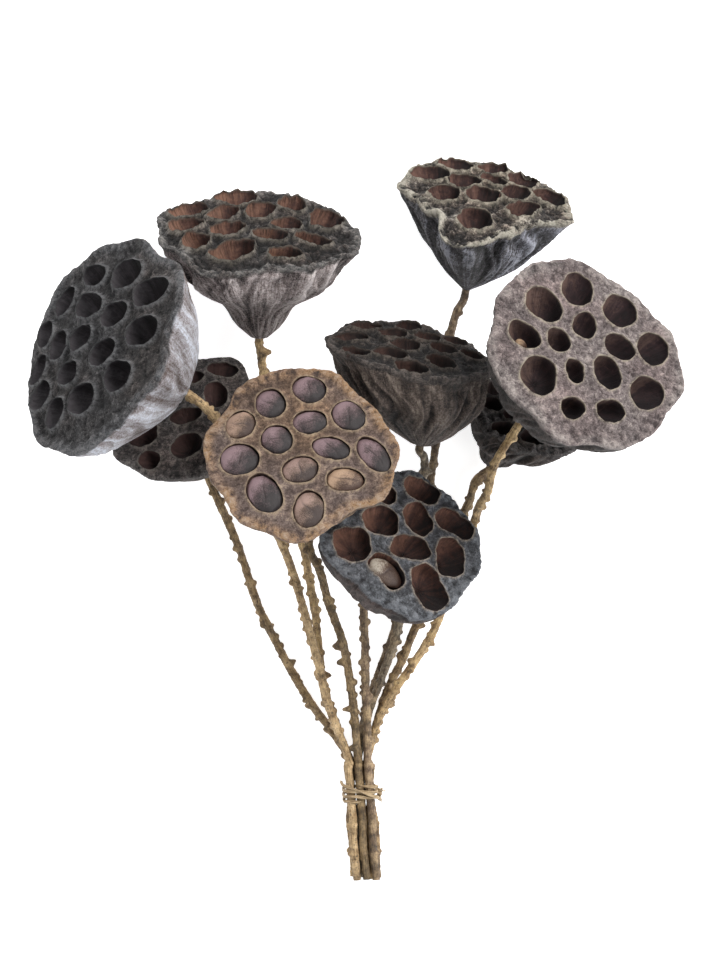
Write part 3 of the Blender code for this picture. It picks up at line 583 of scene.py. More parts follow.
def seed_material():
    """Wrinkled purple-brown skin, tan where a seed has weathered, painted light on one side and painted
    shade on the other, with a soft sheen.
    """
    made = Surface("seed_skin")
    cloud = made.noise(made.place(), *SEED_CLOUD)
    wrinkle = made.noise(made.mark("grain", "Vector"), *SEED_WRINKLE)
    tan, cap, crease, side = (made.mark(mark) for mark in SEED_MARKS)
    patches = made.grade(made.weighed((cloud, 1), (wrinkle, 1)), 0.8, 1.2, -0.2, 0.2)
    # Painted light and shade: each seed is paler on its lit side and darker on the other.
    shade = made.weighed((side, 1), (patches, 1))
    skin = made.ramp(shade, SEED_STOPS, SEED_SKIN)
    colour = made.mix(tan, skin, made.mix(made.grade(shade, 0.25, 0.75), *SEED_TAN))
    colour = made.mix(made.times(cap, 0.75), colour, SEED_BROWN)
    # The white cap shows only on the side of the seed painted as lit.
    colour = made.mix(made.times(cap, made.grade(shade, 0.12, 0.36, 0.9, 0.0)), colour, SEED_CAP)
    colour = made.mix(crease, colour, SEED_CREASE)
    gloss = made.grade(wrinkle, 0.3, 0.7, 0.42, 0.66)
    return made.finish(colour, gloss, made.weighed((wrinkle, 1), (cloud, 0.5)), 0.5)


def stem_material(name, look):
    """Dry stalk: lengthwise fibres, dull dark patches, paler swellings and dark thorn tips."""
    made = Surface(name)
    fibre = made.noise(made.mark("grain", "Vector"), *STEM_FIBRE)
    patch, cloud, crumb = (made.noise(made.place(), *size) for size in (STEM_PATCH, STEM_CLOUD, STEM_CRUMB))
    light = made.weighed((fibre, 0.3), (patch, 0.42), (crumb, 0.28), (made.mark("nub"), 0.04))
    colour = made.ramp(light, STEM_STOPS, look)
    colour = made.mix(made.grade(cloud, 0.44, 0.58, 0.0, 0.6), colour, STEM_TINT, "COLOR")
    colour = made.mix(made.times(made.mark("tip"), 0.5), colour, STEM_TIP)
    colour = made.mix(made.grade(crumb, 0.54, 0.66, 0.0, 0.8), colour, STEM_SPECK)
    gloss = made.grade(fibre, 0.3, 0.7, 0.5, 0.8)
    return made.finish(colour, gloss, made.weighed((fibre, 1), (crumb, 1)), 0.7, 0.9)


def straw_material():
    """Pale dry straw with fibres along it."""
    made = Surface("straw_fibre")
    fibre = made.noise(made.mark("grain", "Vector"), *STRAW_FIBRE)
    patch = made.noise(made.place(), *STRAW_PATCH)
    colour = made.ramp(made.weighed((fibre, 0.65), (patch, 0.35)), STRAW_STOPS, STRAW)
    return made.finish(colour, made.grade(fibre, 0.3, 0.7, 0.45, 0.7), fibre, 0.3)


class Shell:
    """Points, faces and painted values of a mesh in millimetres, kept inside the box of the solids."""

    box = None

    def __init__(self, marks):
        self.points = []
        self.faces = []
        self.grain = []
        self.marks = {name: [] for name in marks}

    def add(self, points, grain, **values):
        """Add a row of points and return the number of each."""
        first = len(self.points)
        self.points.extend(points)
        self.grain.extend(grain)
        for name, row in self.marks.items():
            value = values.get(name, 0.0)
            row.extend(value if np.ndim(value) else [value] * len(points))
        return list(range(first, len(self.points)))

    def bridge(self, outer, inner):
        """Faces between two closed rings of points, given by the number of each point."""
        for k in range(len(outer)):
            m = (k + 1) % len(outer)
            self.faces.append((outer[k], outer[m], inner[m], inner[k]))

    def fan(self, ring, middle):
        """Faces from a closed ring of points to a single one."""
        for k in range(len(ring)):
            self.faces.append((middle[0], ring[k], ring[(k + 1) % len(ring)]))

    def join(self, above, ring, middle):
        """Faces from the ring above, or from a middle point where a tube starts."""
        if above:
            self.bridge(above, ring)
        else:
            self.fan(ring[::-1], self.add([tuple(middle)], [(0, 0, 0)]))

    def build(self, name, material, replaced, matrix=None):
        """Make the object, put it in place, let it ride on the bunch and stand for its solids."""
        places = np.array(self.points, dtype=float)
        if matrix is not None:
            turn = np.array(matrix)
            places = places @ turn[:3, :3].T + turn[:3, 3]
        places = (places + np.array(BUNCH_PLACE)) * MM
        places = np.clip(places, *Shell.box)
        mesh = bpy.data.meshes.new(name)
        mesh.from_pydata(places.tolist(), [], self.faces)
        mesh.validate()
        mesh.update()
        grain = mesh.attributes.new("grain", "FLOAT_VECTOR", "POINT")
        grain.data.foreach_set("vector", np.array(self.grain, dtype=np.float32).ravel())
        for mark, row in self.marks.items():
            painted = mesh.attributes.new(mark, "FLOAT", "POINT")
            painted.data.foreach_set("value", np.array(row, dtype=np.float32))
        mesh.materials.append(material)
        mesh.shade_smooth()
        obj = bpy.data.objects.new(name, mesh)
        bpy.context.scene.collection.objects.link(obj)
        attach(obj, "root")
        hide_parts(*replaced)


def turns_of(count):
    """Angles of a closed ring of points."""
    return np.arange(count) * math.tau / count


def ring_spots(middle, reach, angles):
    """Flat points at some reach and angle round a middle."""
    return np.column_stack((middle[0] + reach * np.cos(angles), middle[1] + reach * np.sin(angles)))


def fade(value, start, end):
    """Smooth step from 0 at the start to 1 at the end."""
    share = np.clip((value - start) / (end - start), 0, 1)
    return share * share * (3 - 2 * share)


def rough(points, size, octaves, seed):
    """Fractal noise of about -1 to 1 at each point, with features of about the given size."""
    away = Vector((seed * 7.3, seed * 3.1, seed * 5.7))
    return np.array([noise.fractal(Vector(point) / size + away, 0.9, 2.1, octaves) for point in points])


def smooth_route(points, step):
    """Points of a Catmull-Rom curve through a route, about one each step."""
    ends = [points[0] * 2 - points[1], *points, points[-1] * 2 - points[-2]]
    route = []
    for i in range(1, len(ends) - 2):
        before, start, end, after = ends[i - 1:i + 3]
        pieces = max(1, round((end - start).length / step))
        for j in range(pieces):
            t = j / pieces
            route.append(0.5 * (2 * start + (end - before) * t
                                + (2 * before - 5 * start + 4 * end - after) * t ** 2
                                + (3 * start - before - 3 * end + after) * t ** 3))
    route.append(points[-1].copy())
    return route


def rim_factor(pod, angle):
    """Rim radius against the mean, eased between the values given every 30 degrees."""
    place = math.degrees(angle) % 360 / 30
    i = int(place) % 12
    ease = 0.5 - 0.5 * math.cos(math.pi * (place - int(place)))
    return pod.rim[i] * (1 - ease) + pod.rim[(i + 1) % 12] * ease


def wave_factor(angle, shift):
    """Radius against the mean where the rim and wall wander in and out round the head."""
    waves = sum(math.sin(count * angle + shift * place) for place, count in enumerate(HEAD_WAVES, 1))
    return 1 + WAVE_DEPTH * waves / math.sqrt(len(HEAD_WAVES))


def pit_reach(pit, way):
    """How far a pit's edge is from its middle, measured along a way on the face."""
    turn = math.radians(pit[4])
    along = way.x * math.cos(turn) + way.y * math.sin(turn)
    across = way.y * math.cos(turn) - way.x * math.sin(turn)
    return math.hypot(along * pit[2] / 2, across * pit[3] / 2)


def settle_pits(pod):
    """Middles of the pits on the face, nudged until walls stand between them and inside the rim."""
    places = [Matrix.Rotation(math.radians(pit[0]), 3, "Z") @ Vector((pit[1], 0, 0)) for pit in pod.pits]
    for _ in range(SETTLE_ROUNDS):
        for i, j in itertools.combinations(range(len(places)), 2):
            apart = places[j] - places[i]
            way = apart.normalized()
            short = pit_reach(pod.pits[i], way) + pit_reach(pod.pits[j], way) + PIT_WALL - apart.length
            if short > 0:
                places[i] -= way * short / 2
                places[j] += way * short / 2
        for i, place in enumerate(places):
            way = place.normalized()
            rim = pod.radius * rim_factor(pod, math.atan2(way.y, way.x))
            room = rim - pit_reach(pod.pits[i], way) - PIT_MARGIN
            if place.length > room:
                places[i] = way * room
    return places


def leaned(pod, place, drop):
    """Middle of a pit at some depth under its shoulder, where it leans in towards the neck."""
    neck = pod.neck_place()
    return place + (neck.xy.to_3d() - place) * max(0, drop) / neck.length * PIT_NARROWING


def face_height(pod, place):
    """Height of the domed face at a place on it."""
    return FACE_DOME * (1 - (place.length / pod.radius) ** 2)


def bulk_outline(pod):
    """Rim radius at each side of the head before it is frayed."""
    return np.array([pod.radius * rim_factor(pod, turn) * wave_factor(turn, pod.shift)
                     for turn in turns_of(HEAD_SIDES)])


def edge_reaches(pod, look):
    """Ragged rim radius at each side of the head."""
    bites = []
    for angle in turns_of(HEAD_SIDES):
        spot = Vector((math.cos(angle), math.sin(angle), pod.shift))
        coarse = noise.fractal(spot * 5, 0.8, 2.0, 3)
        bites.append(0.55 + 0.4 * coarse + 0.3 * noise.fractal(spot * 21, 0.8, 2.0, 3))
    return bulk_outline(pod) - RAGGED * look.crust * np.clip(bites, 0.35, 1.5)


def rim_at(edges, spots):
    """Angle and reach of each flat spot from the middle of the face, and the reach of the rim there."""
    angles = np.arctan2(spots[:, 1], spots[:, 0])
    stops = np.arange(HEAD_SIDES + 1) * math.tau / HEAD_SIDES
    rim = np.interp(angles % math.tau, stops, np.append(edges, edges[0]))
    return angles, np.hypot(spots[:, 0], spots[:, 1]), rim


def rim_wave(pod, angles, share):
    """How far the face stands up or down at each angle, growing from the middle to the rim."""
    swell = 0.5 * share + 0.5 * fade(share, 0.9, 1.0)
    return RIM_WAVE * swell * (np.sin(3 * angles + pod.shift) + 0.6 * np.sin(7 * angles))


def pit_outline(pod, number):
    """Reach of a pit's uneven lip at each of its sides."""
    angles = turns_of(PIT_SIDES)
    look = LOOKS[pod.name]
    pit = pod.pits[number]
    turned = angles - math.radians(pit[4])
    along = np.abs(np.cos(turned)) / (pit[2] / 2)
    across = np.abs(np.sin(turned)) / (pit[3] / 2)
    reach = (along ** look.corners + across ** look.corners) ** (-1 / look.corners)
    rng = random.Random(f"pit {pod.name} {number}")
    for waves in (2, 3, 5, 9):
        reach = reach * (1 + look.uneven * rng.uniform(0.3, 1) * (2 / waves) ** 0.5
                         * np.sin(waves * angles + rng.uniform(0, math.tau)))
    return look.gape * reach


def surface_height(pod, look, edges, spots, gaps):
    """Height of the crumpled face at flat spots, and its painted shade in sags and folds, from the gap to
    the nearest pit.
    """
    angles, reach, rim = rim_at(edges, spots)
    flat = np.column_stack((spots, np.zeros(len(spots))))
    near_rim = fade(rim - reach, 7.0, 1.5)
    sag = (1 - np.exp(-gaps / SAG_REACH)) * (1 - near_rim)
    swell = rough(flat, SWELL_SIZE, 3, pod.shift)
    crumbs = rough(flat, CRUMB_SIZE, 3, pod.shift + 1)
    folds = np.abs(rough(flat, FOLD_SIZE, 3, pod.shift + 4))
    crust = rough(flat, CRUST_SIZE, 4, pod.shift + 2)
    spokes = np.column_stack((ring_spots((0, 0), 14, angles), reach * 0.06))
    rays = rough(spokes, 1.0, 3, pod.shift + 3)

    height = FACE_DOME * (1 - (reach / pod.radius) ** 2) + rim_wave(pod, angles, reach / rim)
    height -= look.sag * sag
    height += look.lip_height * np.exp(-(gaps / LIP_REACH) ** 2)
    valleys = np.exp(-(folds / FOLD_WIDTH) ** 2) * sag
    height += look.crumple * (0.75 * swell + 0.35 * crumbs - 1.5 * valleys)
    height += look.crust * near_rim * (0.5 * crust + 0.6 * rays)

    # Painted shade in sags and fold valleys, painted light on swells, crumbs and the crust by the rim.
    shadows = np.exp(-(folds / FOLD_SHADOW) ** 2)
    hollow = 0.3 * look.sag * sag + look.crumple * (0.3 * shadows - 0.25 * swell - 0.3 * crumbs)
    hollow -= near_rim * look.crust * (0.25 * crust + 0.5 * rays)
    return height, near_rim, np.clip(hollow, -0.35, 0.75)


def grid_spots(pod, edges, outlines, places):
    """Flat spots all over the face between its pits, with two closer rings round each pit."""
    rng = np.random.default_rng(len(pod.pits) + ord(pod.name))
    rows = []
    reach = pod.radius * 1.2
    steps = np.arange(-reach, reach, FACE_STEP)
    for j, y in enumerate(steps):
        rows.append(np.column_stack((steps + (j % 2) * FACE_STEP / 2, np.full(len(steps), y))))
    grid = np.concatenate(rows)
    grid += rng.uniform(-FACE_JITTER, FACE_JITTER, grid.shape)
    kept = [grid[pit_gaps(grid, outlines, places).min(axis=1) > PIT_CLEARANCE]]
    for away in PIT_RINGS:
        angles = turns_of(PIT_SIDES) + away
        for outline, place in zip(outlines, places):
            ring = ring_spots(place, np.interp(angles % math.tau, outline[0], outline[1]) + away, angles)
            nearest = pit_gaps(ring, outlines, places).min(axis=1)
            kept.append(ring[nearest > away - PIT_RING_SLACK])
    spots = np.concatenate(kept)
    _, reach, rim = rim_at(edges, spots)
    return spots[reach < rim * FACE_SHARE - 0.5]


def pit_gaps(spots, outlines, places):
    """Distance of each spot from the edge of each pit, negative inside it."""
    columns = []
    for outline, place in zip(outlines, places):
        x = spots[:, 0] - place.x
        y = spots[:, 1] - place.y
        columns.append(np.hypot(x, y) - np.interp(np.arctan2(y, x) % math.tau, outline[0], outline[1]))
    return np.column_stack(columns)


def make_face(pod, look, shell, edges, places):
    """Crumpled face with holes for the pits. Returns the points of its border and of each hole."""
    outlines = []
    loops = [ring_spots((0, 0), edges * FACE_SHARE, turns_of(HEAD_SIDES))]
    for number, place in enumerate(places):
        reach = pit_outline(pod, number)
        outlines.append((np.append(turns_of(PIT_SIDES), math.tau), np.append(reach, reach[0])))
        loops.append(ring_spots(place, reach, turns_of(PIT_SIDES)))
    starts = list(itertools.accumulate((len(loop) for loop in loops), initial=0))
    borders = []
    for first, loop in zip(starts, loops):
        borders += [(first + k, first + (k + 1) % len(loop)) for k in range(len(loop))]
    spots = np.concatenate(loops + [grid_spots(pod, edges, outlines, places)])
    flat, _, faces, origin, _, _ = delaunay_2d_cdt([Vector(spot) for spot in spots], borders, [], 1, 0.0001)
    flat = np.array([tuple(spot) for spot in flat])
    nearest = pit_gaps(flat, outlines, places).min(axis=1)
    height, near_rim, hollow = surface_height(pod, look, edges, flat, np.maximum(nearest, 0))
    lip = np.exp(-(nearest / look.lip_width) ** 2)
    points = np.column_stack((flat, height))
    own = shell.add(points, points * FACE_GRAIN, lip=lip, rim=near_rim, hollow=hollow)
    middles = np.array([flat[list(face)].mean(axis=0) for face in faces])
    inside = pit_gaps(middles, outlines, places).min(axis=1) < 0
    shell.faces.extend(tuple(own[i] for i in face) for face, skip in zip(faces, inside) if not skip)
    number_of = {source: own[index] for index, sources in enumerate(origin) for source in sources}
    holes = [[number_of[first + k] for k in range(len(loop))] for first, loop in zip(starts, loops)]
    return holes[0], holes[1:]


def shaded(pod, angles, reach):
    """0 on the side of a pit or seed painted as lit, 1 on the side painted in shade."""
    return 0.5 + 0.5 * reach * np.cos(angles - SHADED_SIDES.get(pod.name, SHADED_SIDE))


def make_pit(pod, shell, number, place, loop):
    """Rounded pit under a hole of the face, streaked down its wall and leaning in towards the neck."""
    around = turns_of(PIT_SIDES)
    reach = pit_outline(pod, number)
    top = np.array([shell.points[i][2] for i in loop])
    level = face_height(pod, place)
    depth = pod.pit_depth
    dent_seed = 3.0 * number + pod.shift
    above = loop
    for step in range(1, PIT_LEVELS + 1):
        share = (step / PIT_LEVELS) ** 0.9
        bulge = 1 + PIT_BULGE * math.sin(math.pi * min(1, share / 0.5))
        rounding = (max(0, share - PIT_STRAIGHT) / (1 - PIT_STRAIGHT)) ** PIT_ROUNDNESS
        narrow = math.sqrt(max(0.0, 1 - rounding))
        middle = leaned(pod, place, depth * share - PIT_SHOULDER)
        height = top * (1 - share) + (level - depth * share) * share
        height = height - depth * share * (1 - share)
        spread = reach * bulge * max(narrow, 0.06)
        spots = [Vector((math.cos(a) * 2, math.sin(a) * 2, share * 1.5 + dent_seed)) for a in around]
        dents = np.array([noise.noise(spot) for spot in spots])
        fibres = [noise.noise(Vector((spot.x * 5, spot.y * 5, share + dent_seed))) for spot in spots]
        spread = spread * (1 + 0.04 * dents) - 0.12 * np.abs(fibres)
        points = np.column_stack((ring_spots(middle, spread, around), height))
        grain = np.column_stack((ring_spots((PIT_GRAIN_SHIFT * number, 0), reach, around),
                                 np.full(PIT_SIDES, depth * share * 0.12)))
        # Painted shade in each pit: darker deeper down and towards its shaded side.
        ring = shell.add(points, grain, pit=1.0, deep=share, lip=max(0, 0.5 - 4 * share),
                         shade=0.15 * share + 0.85 * shaded(pod, around, narrow), hollow=0.04 + 0.45 * share)
        shell.bridge(above, ring)
        above = ring
    middle = leaned(pod, place, depth - PIT_SHOULDER)
    floor = shell.add([(middle.x, middle.y, level - depth)], [(PIT_GRAIN_SHIFT * number, 0, 0)],
                      pit=1.0, deep=1.0, shade=0.58, hollow=0.49)
    shell.fan(above[::-1], floor)


def wall_width(pod, depth):
    """Width of the funnel against the rim at some share of the way to the neck, smooth through its rings."""
    rings = pod.wall
    i = max(k for k in range(len(rings) - 1) if rings[k][0] <= depth)
    start, end = rings[i], rings[i + 1]
    before = rings[max(i - 1, 0)]
    after = rings[min(i + 2, len(rings) - 1)]
    t = (depth - start[0]) / (end[0] - start[0])
    slope_in = (end[1] - before[1]) / max(end[0] - before[0], 0.01) * (end[0] - start[0])
    slope_out = (after[1] - start[1]) / max(after[0] - start[0], 0.01) * (end[0] - start[0])
    return ((2 * t ** 3 - 3 * t ** 2 + 1) * start[1] + (t ** 3 - 2 * t ** 2 + t) * slope_in
            + (3 * t ** 2 - 2 * t ** 3) * end[1] + (t ** 3 - t ** 2) * slope_out)


def lobe(c, s, count, rise):
    """Where to read the noise for a way round the head: a higher count gives narrower folds."""
    return Vector((c * count, s * count, rise))


def make_wall(pod, look, shell, edges, border):
    """Ragged rim rolling over into the folded funnel that narrows to the neck."""
    neck = pod.neck_place()
    turns = turns_of(HEAD_SIDES)
    cosines = np.cos(turns)
    sines = np.sin(turns)
    top = np.array([shell.points[i][2] for i in border])
    wave = rim_wave(pod, turns, np.ones(HEAD_SIDES))
    curls = np.array([noise.fractal(lobe(c, s, 9, pod.shift), 0.8, 2.0, 4) for c, s in zip(cosines, sines)])
    above = border
    for share, rise, spread in RIM_ROLL:
        height = top * (1 - spread) + wave * spread + rise + look.crust * 0.5 * curls * spread
        points = np.column_stack((ring_spots((0, 0), edges * share, turns), height))
        # Painted light on the rolled rim.
        ring = shell.add(points, points * FACE_GRAIN, rim=1.0, ridge=0.6 + 0.3 * curls)
        shell.bridge(ring, above)
        above = ring
    bulk = bulk_outline(pod) / pod.radius
    frayed = edges / pod.radius
    for step in range(1, WALL_RINGS + 1):
        depth = 0.02 + 0.98 * (step / WALL_RINGS) ** 1.15
        width = max(0.0, wall_width(pod, depth))
        radius = NECK_RADIUS + (pod.radius - NECK_RADIUS) * width
        fraying = float(fade(depth, 0.09, 0.02))
        shape = 1 + (bulk * (1 - fraying) + frayed * fraying - 1) * width ** OUTLINE_FADE
        centre = neck * depth
        reaches = []
        ridge_lights = []
        hollow_shades = []
        for k in range(HEAD_SIDES):
            sway = 0.3 * noise.noise(lobe(cosines[k], sines[k], 1.4, 2.2 * depth + pod.shift))
            c = math.cos(turns[k] + sway)
            s = math.sin(turns[k] + sway)
            fold = noise.noise(lobe(c, s, FOLD_COUNT, 0.9 * depth + pod.shift))
            pleat = 1 - 2 * abs(noise.noise(lobe(c, s, PLEAT_COUNT, 1.1 * depth + pod.shift + 9)))
            crease = 1 - 2 * abs(noise.noise(lobe(c, s, CREASE_COUNT, 1.8 * depth + pod.shift + 31)))
            fine = noise.fractal(lobe(c, s, WRINKLE_COUNT, 3.2 * depth + pod.shift + 20), 0.7, 2.0, 3)
            drop = look.folds * (FOLD * (0.3 - 0.7 * fold) + PLEAT * (1 - pleat) + CREASE * (1 - crease))
            drop += WRINKLE * (1 - fine)
            reaches.append(radius * (shape[k] - drop * min(1.0, 7 * depth)))
            # Painted light on the raised pleats and creases, painted shade in the valleys between them.
            ridge_lights.append(0.5 + 0.32 * (pleat - 0.5) + 0.26 * (crease - 0.5) + 0.2 * fine + 0.3 * fold)
            hollow_shades.append(max(0.0, 0.3 - 0.5 * pleat - 0.3 * fold) + max(0.0, 0.15 - 0.35 * crease))
        height = centre.z + wave * width ** 3 * max(0, 1 - depth * 3) - 1.2 * (1 - depth)
        points = np.column_stack((ring_spots(centre, np.array(reaches), turns), height))
        grain = np.column_stack((pod.radius * cosines, pod.radius * sines,
                                 np.full(HEAD_SIDES, neck.length * depth * 0.1)))
        # Painted light: the wall is made paler towards its right.
        ring = shell.add(points, grain, wall=fade(depth + 0.025 * curls, 0.02, 0.05),
                         rim=max(0, 1 - depth * 12), ridge=np.array(ridge_lights) + look.slope * cosines,
                         hollow=np.clip(hollow_shades, 0, 1) * min(1.0, 8 * depth))
        shell.bridge(ring, above)
        above = ring
    shell.fan(above[::-1], shell.add([tuple(neck)], [(0, 0, neck.length * 0.1)], wall=1.0, ridge=0.4))


def make_head(pod):
    """Face, pits and wall of a head. Returns the settled middles of its pits."""
    look = LOOKS[pod.name]
    shell = Shell(HEAD_MARKS)
    places = settle_pits(pod)
    edges = edge_reaches(pod, look)
    border, holes = make_face(pod, look, shell, edges, places)
    for number, (place, loop) in enumerate(zip(places, holes)):
        make_pit(pod, shell, number, place, loop)
    make_wall(pod, look, shell, edges, border)
    name = f"pod_{pod.name}_head"
    shell.build(f"head_{pod.name}", head_material(name, look), [name], pod.matrix())
    return places


def make_seeds(pod, places, material):
    """Wrinkled seeds with a crease across the top, lying on the floors of their pits."""
    for number, share, lift in pod.seeds:
        place = places[number]
        turned = math.radians(pod.pits[number][4])
        half_long, half_wide = (share * size / 2 for size in pod.pits[number][2:4])
        half_height = min(SEED_HALF_HEIGHT, half_wide)
        shoulder = face_height(pod, place) - PIT_SHOULDER
        middle = face_height(pod, place) - pod.pit_depth + half_height + SEED_GAP + lift
        turn = Matrix.Rotation(turned, 4, "Z")
        crease = random.Random(f"seed {pod.name} {number}").uniform(0, math.pi)
        tan, cap = (table.get((pod.name, number), 0.0) for table in (TAN_SEEDS, CAPPED_SEEDS))
        shell = Shell(SEED_MARKS)
        above = None
        for level in range(SEED_LEVELS + 1):
            polar = math.pi * level / SEED_LEVELS
            points = []
            creases = []
            grain = []
            for angle in turns_of(SEED_SIDES):
                way = Vector((math.sin(polar) * math.cos(angle), math.sin(polar) * math.sin(angle),
                              math.cos(polar)))
                along = way.x * math.cos(crease) + way.y * math.sin(crease)
                off = way.y * math.cos(crease) - way.x * math.sin(crease) - 0.16 * math.sin(3.4 * along)
                groove = math.exp(-(off / 0.055) ** 2) * max(0, way.z) * max(0.0, 1 - abs(along) * 0.9)
                dent = 0.05 * noise.fractal(way * 1.9 + Vector((number, 0, pod.shift)), 0.9, 2.0, 3)
                size = 1 + dent - 0.09 * groove
                local = turn @ Vector((way.x * half_long, way.y * half_wide, 0)) * size
                height = middle + way.z * half_height * size
                spot = leaned(pod, place, shoulder - height) + local
                points.append((spot.x, spot.y, height))
                creases.append(min(1.0, 0.8 * groove))
                grain.append((along * 9, off * 2.2 * pod.pits[number][3] / 2, way.z * 2 + number * 9))
            # Painted light and shade: one side of each seed is lit, the other is in shade.
            ring = shell.add(points, grain, tan=tan, cap=cap, crease=creases,
                             shade=shaded(pod, turns_of(SEED_SIDES) + turned, math.sin(polar)))
            if above:
                shell.bridge(ring, above)
            above = ring
        node = f"pod_{pod.name}_seed_{number + 1:02d}"
        shell.build(f"seed_{pod.name}_{number + 1:02d}", material, [node], pod.matrix())


def bundle_spot(slot, y):
    """Middle of a stem in the bundle, which leans a little towards +X below its top."""
    column, row = slot
    lean = BUNDLE_LEAN * min(0, y - BUNDLE_TOP_Y) / (BUNDLE_END_Y - BUNDLE_TOP_Y)
    return Vector((BUNDLE_X + lean + column * BUNDLE_PITCH, y, BUNDLE_FLOOR + row * BUNDLE_PITCH))


def bundle_sway(row, y):
    """How far a row of stems lies to the side in the bundle, least at its top and under the binding."""
    middle = TIE_Y - TIE_TURNS * TIE_PITCH / 2
    free = min(fade(y, BUNDLE_TOP_Y, BUNDLE_TOP_Y - 8), 0.3 + 0.7 * fade(abs(y - middle), 5, 13))
    return float(free) * (SWAY[row] + 0.3 * math.sin(0.19 * y + 2.1 * row))


def stem_points(pod):
    """Route of a stem from the neck through the open to its cut end."""
    start = pod.neck - pod.normal * GAP
    lead = start - pod.normal * STEM_LEAD
    rng = random.Random(pod.name)
    end_y = BUNDLE_END_Y + rng.uniform(-1.5, 1.5)
    levels = (BUNDLE_TOP_Y, BUNDLE_TOP_Y - 4, BUNDLE_TOP_Y - 12, end_y)
    return [start, lead, *map(Vector, pod.route), *(bundle_spot(pod.slot, y) for y in levels)]


def outward(pod):
    """Direction in which a stem's nubs point where the stems lie side by side, if any is free."""
    column, row = pod.slot
    if column:
        return Vector((column, 0, 0))
    return Vector((0, 0, 1)) if row == 2 else None


def stem_nubs(pod):
    """Root, direction, length and thickness of each thorny nub, on alternate sides of the stem."""
    rng = random.Random(f"stem {pod.name}")
    route = smooth_route(stem_points(pod), STEM_STEP)
    # The plain stem draws once for each place on its route first, and the nubs keep to the same draws.
    for _ in route:
        rng.random()
    nubs = []
    travelled = 0.0
    side = 1
    for before, here, after in zip(route, route[1:], route[2:]):
        travelled += (here - before).length
        if travelled < NUB_SPACING:
            continue
        travelled = rng.uniform(-1.5, 1.5)
        side = -side
        along = (after - before).normalized()
        across = along.cross(Vector((0, 0, 1))).normalized()
        away = across * side + Vector((0, 0, rng.uniform(0.1, 0.8)))
        if here.y < BUNDLE_TOP_Y + 32:
            away = outward(pod)
        if away is None or TIE_Y + 3 > here.y > TIE_Y - TIE_TURNS * TIE_PITCH - 3:
            continue
        nubs.append((here, away.normalized(), *NUB_SIZE))
    return nubs


def small_nubs(pod, route):
    """Small extra nubs between the large ones, all round the stem."""
    rng = random.Random(f"small {pod.name}")
    nubs = []
    index = 4
    while index < len(route) - 4:
        index += round(rng.uniform(2.5, 6.0) / STEM_FINE_STEP)
        if index >= len(route) - 4:
            break
        here = route[index]
        if here.y < BUNDLE_TOP_Y + 12:
            break
        along = (route[index + 1] - here).normalized()
        across = along.cross(Vector((0, 0, 1))).normalized()
        up = across.cross(along)
        angle = rng.uniform(-0.5, math.pi + 0.5)
        away = across * math.cos(angle) + up * math.sin(angle)
        nubs.append((here, away, rng.uniform(0.6, 1.3), rng.uniform(0.9, 1.5)))
    return nubs


def big_buds(pod, route):
    """Root, direction, length and thickness of the buds that stand out most."""
    buds = []
    for x, y, length, thick in BUDS.get(pod.name, ()):
        here = min(route, key=lambda place: (place.xy - Vector((x, y))).length)
        away = Vector((x, y, here.z + 1.0)) - here
        buds.append((here, away.normalized(), length, thick))
    return buds


def steady_sides(route):
    """Two directions across a route at each of its points, turning as little as they can."""
    side = None
    sides = []
    for i, place in enumerate(route):
        ahead = route[min(i + 1, len(route) - 1)] - route[max(i - 1, 0)]
        ahead.normalize()
        if side is None:
            side = ahead.cross(Vector((0.3, 0.2, 1))).normalized()
        side = (side - ahead * side.dot(ahead)).normalized()
        sides.append((side.copy(), ahead.cross(side)))
    return sides


def make_stem(pod):
    """Knobbly stem with fibres, swollen joints, thorny nubs and a few buds."""
    shell = Shell(("nub", "tip"))
    points = stem_points(pod)
    points[0] = points[0] + pod.normal * STEM_OVERLAP
    route = smooth_route(points, STEM_FINE_STEP)
    nubs = stem_nubs(pod) + small_nubs(pod, route) + big_buds(pod, route)
    for place in route:
        place.x += bundle_sway(pod.slot[1], place.y)
    above = None
    for i, (place, (first, second)) in enumerate(zip(route, steady_sides(route))):
        close = [nub for nub in nubs if (nub[0] - place).length < NUB_SIGHT]
        points = []
        nub_shares = []
        tip_shares = []
        grain = []
        for angle in turns_of(STEM_SIDES):
            way = first * math.cos(angle) + second * math.sin(angle)
            base = place + way * STEM_RADIUS
            bump = noise.fractal(base * 0.32 + Vector((pod.shift, 0, 0)), 0.9, 2.0, 3)
            fibre = noise.noise(Vector((math.cos(angle) * 3, math.sin(angle) * 3, i * 0.04 + pod.shift)))
            lumps = noise.fractal(base * 0.9 + Vector((pod.shift, 0, 5)), 0.9, 2.0, 3)
            spot = place + way * (STEM_RADIUS * (0.89 + 0.12 * bump + 0.08 * fibre + 0.09 * lumps))
            nub_share = 0.0
            tip_share = 0.0
            for root, away, length, thick in close:
                off = base - (root + away * STEM_RADIUS)
                share = math.exp(-(off.length / thick) ** 4)
                swell = math.exp(-((place - root).length / NUB_SWELL) ** 2)
                spot = spot + away * length * share + way * 0.16 * swell
                nub_share = max(nub_share, share, 0.6 * swell)
                tip_share = max(tip_share, float(fade(share, 0.62, 0.95)))
            points.append(tuple(spot))
            nub_shares.append(nub_share)
            tip_shares.append(tip_share)
            grain.append((math.cos(angle) * 2.6, math.sin(angle) * 2.6,
                          i * STEM_FINE_STEP * 0.16 + pod.shift * 9))
        ring = shell.add(points, grain, nub=nub_shares, tip=tip_shares)
        shell.join(above, ring, place)
        above = ring
    shell.fan(above, shell.add([tuple(route[-1])], [(0, 0, 0)], tip=0.5))
    name = f"pod_{pod.name}_stem"
    shell.build(f"stem_{pod.name}", stem_material(name, STEM_LOOKS[pod.name]), [name])


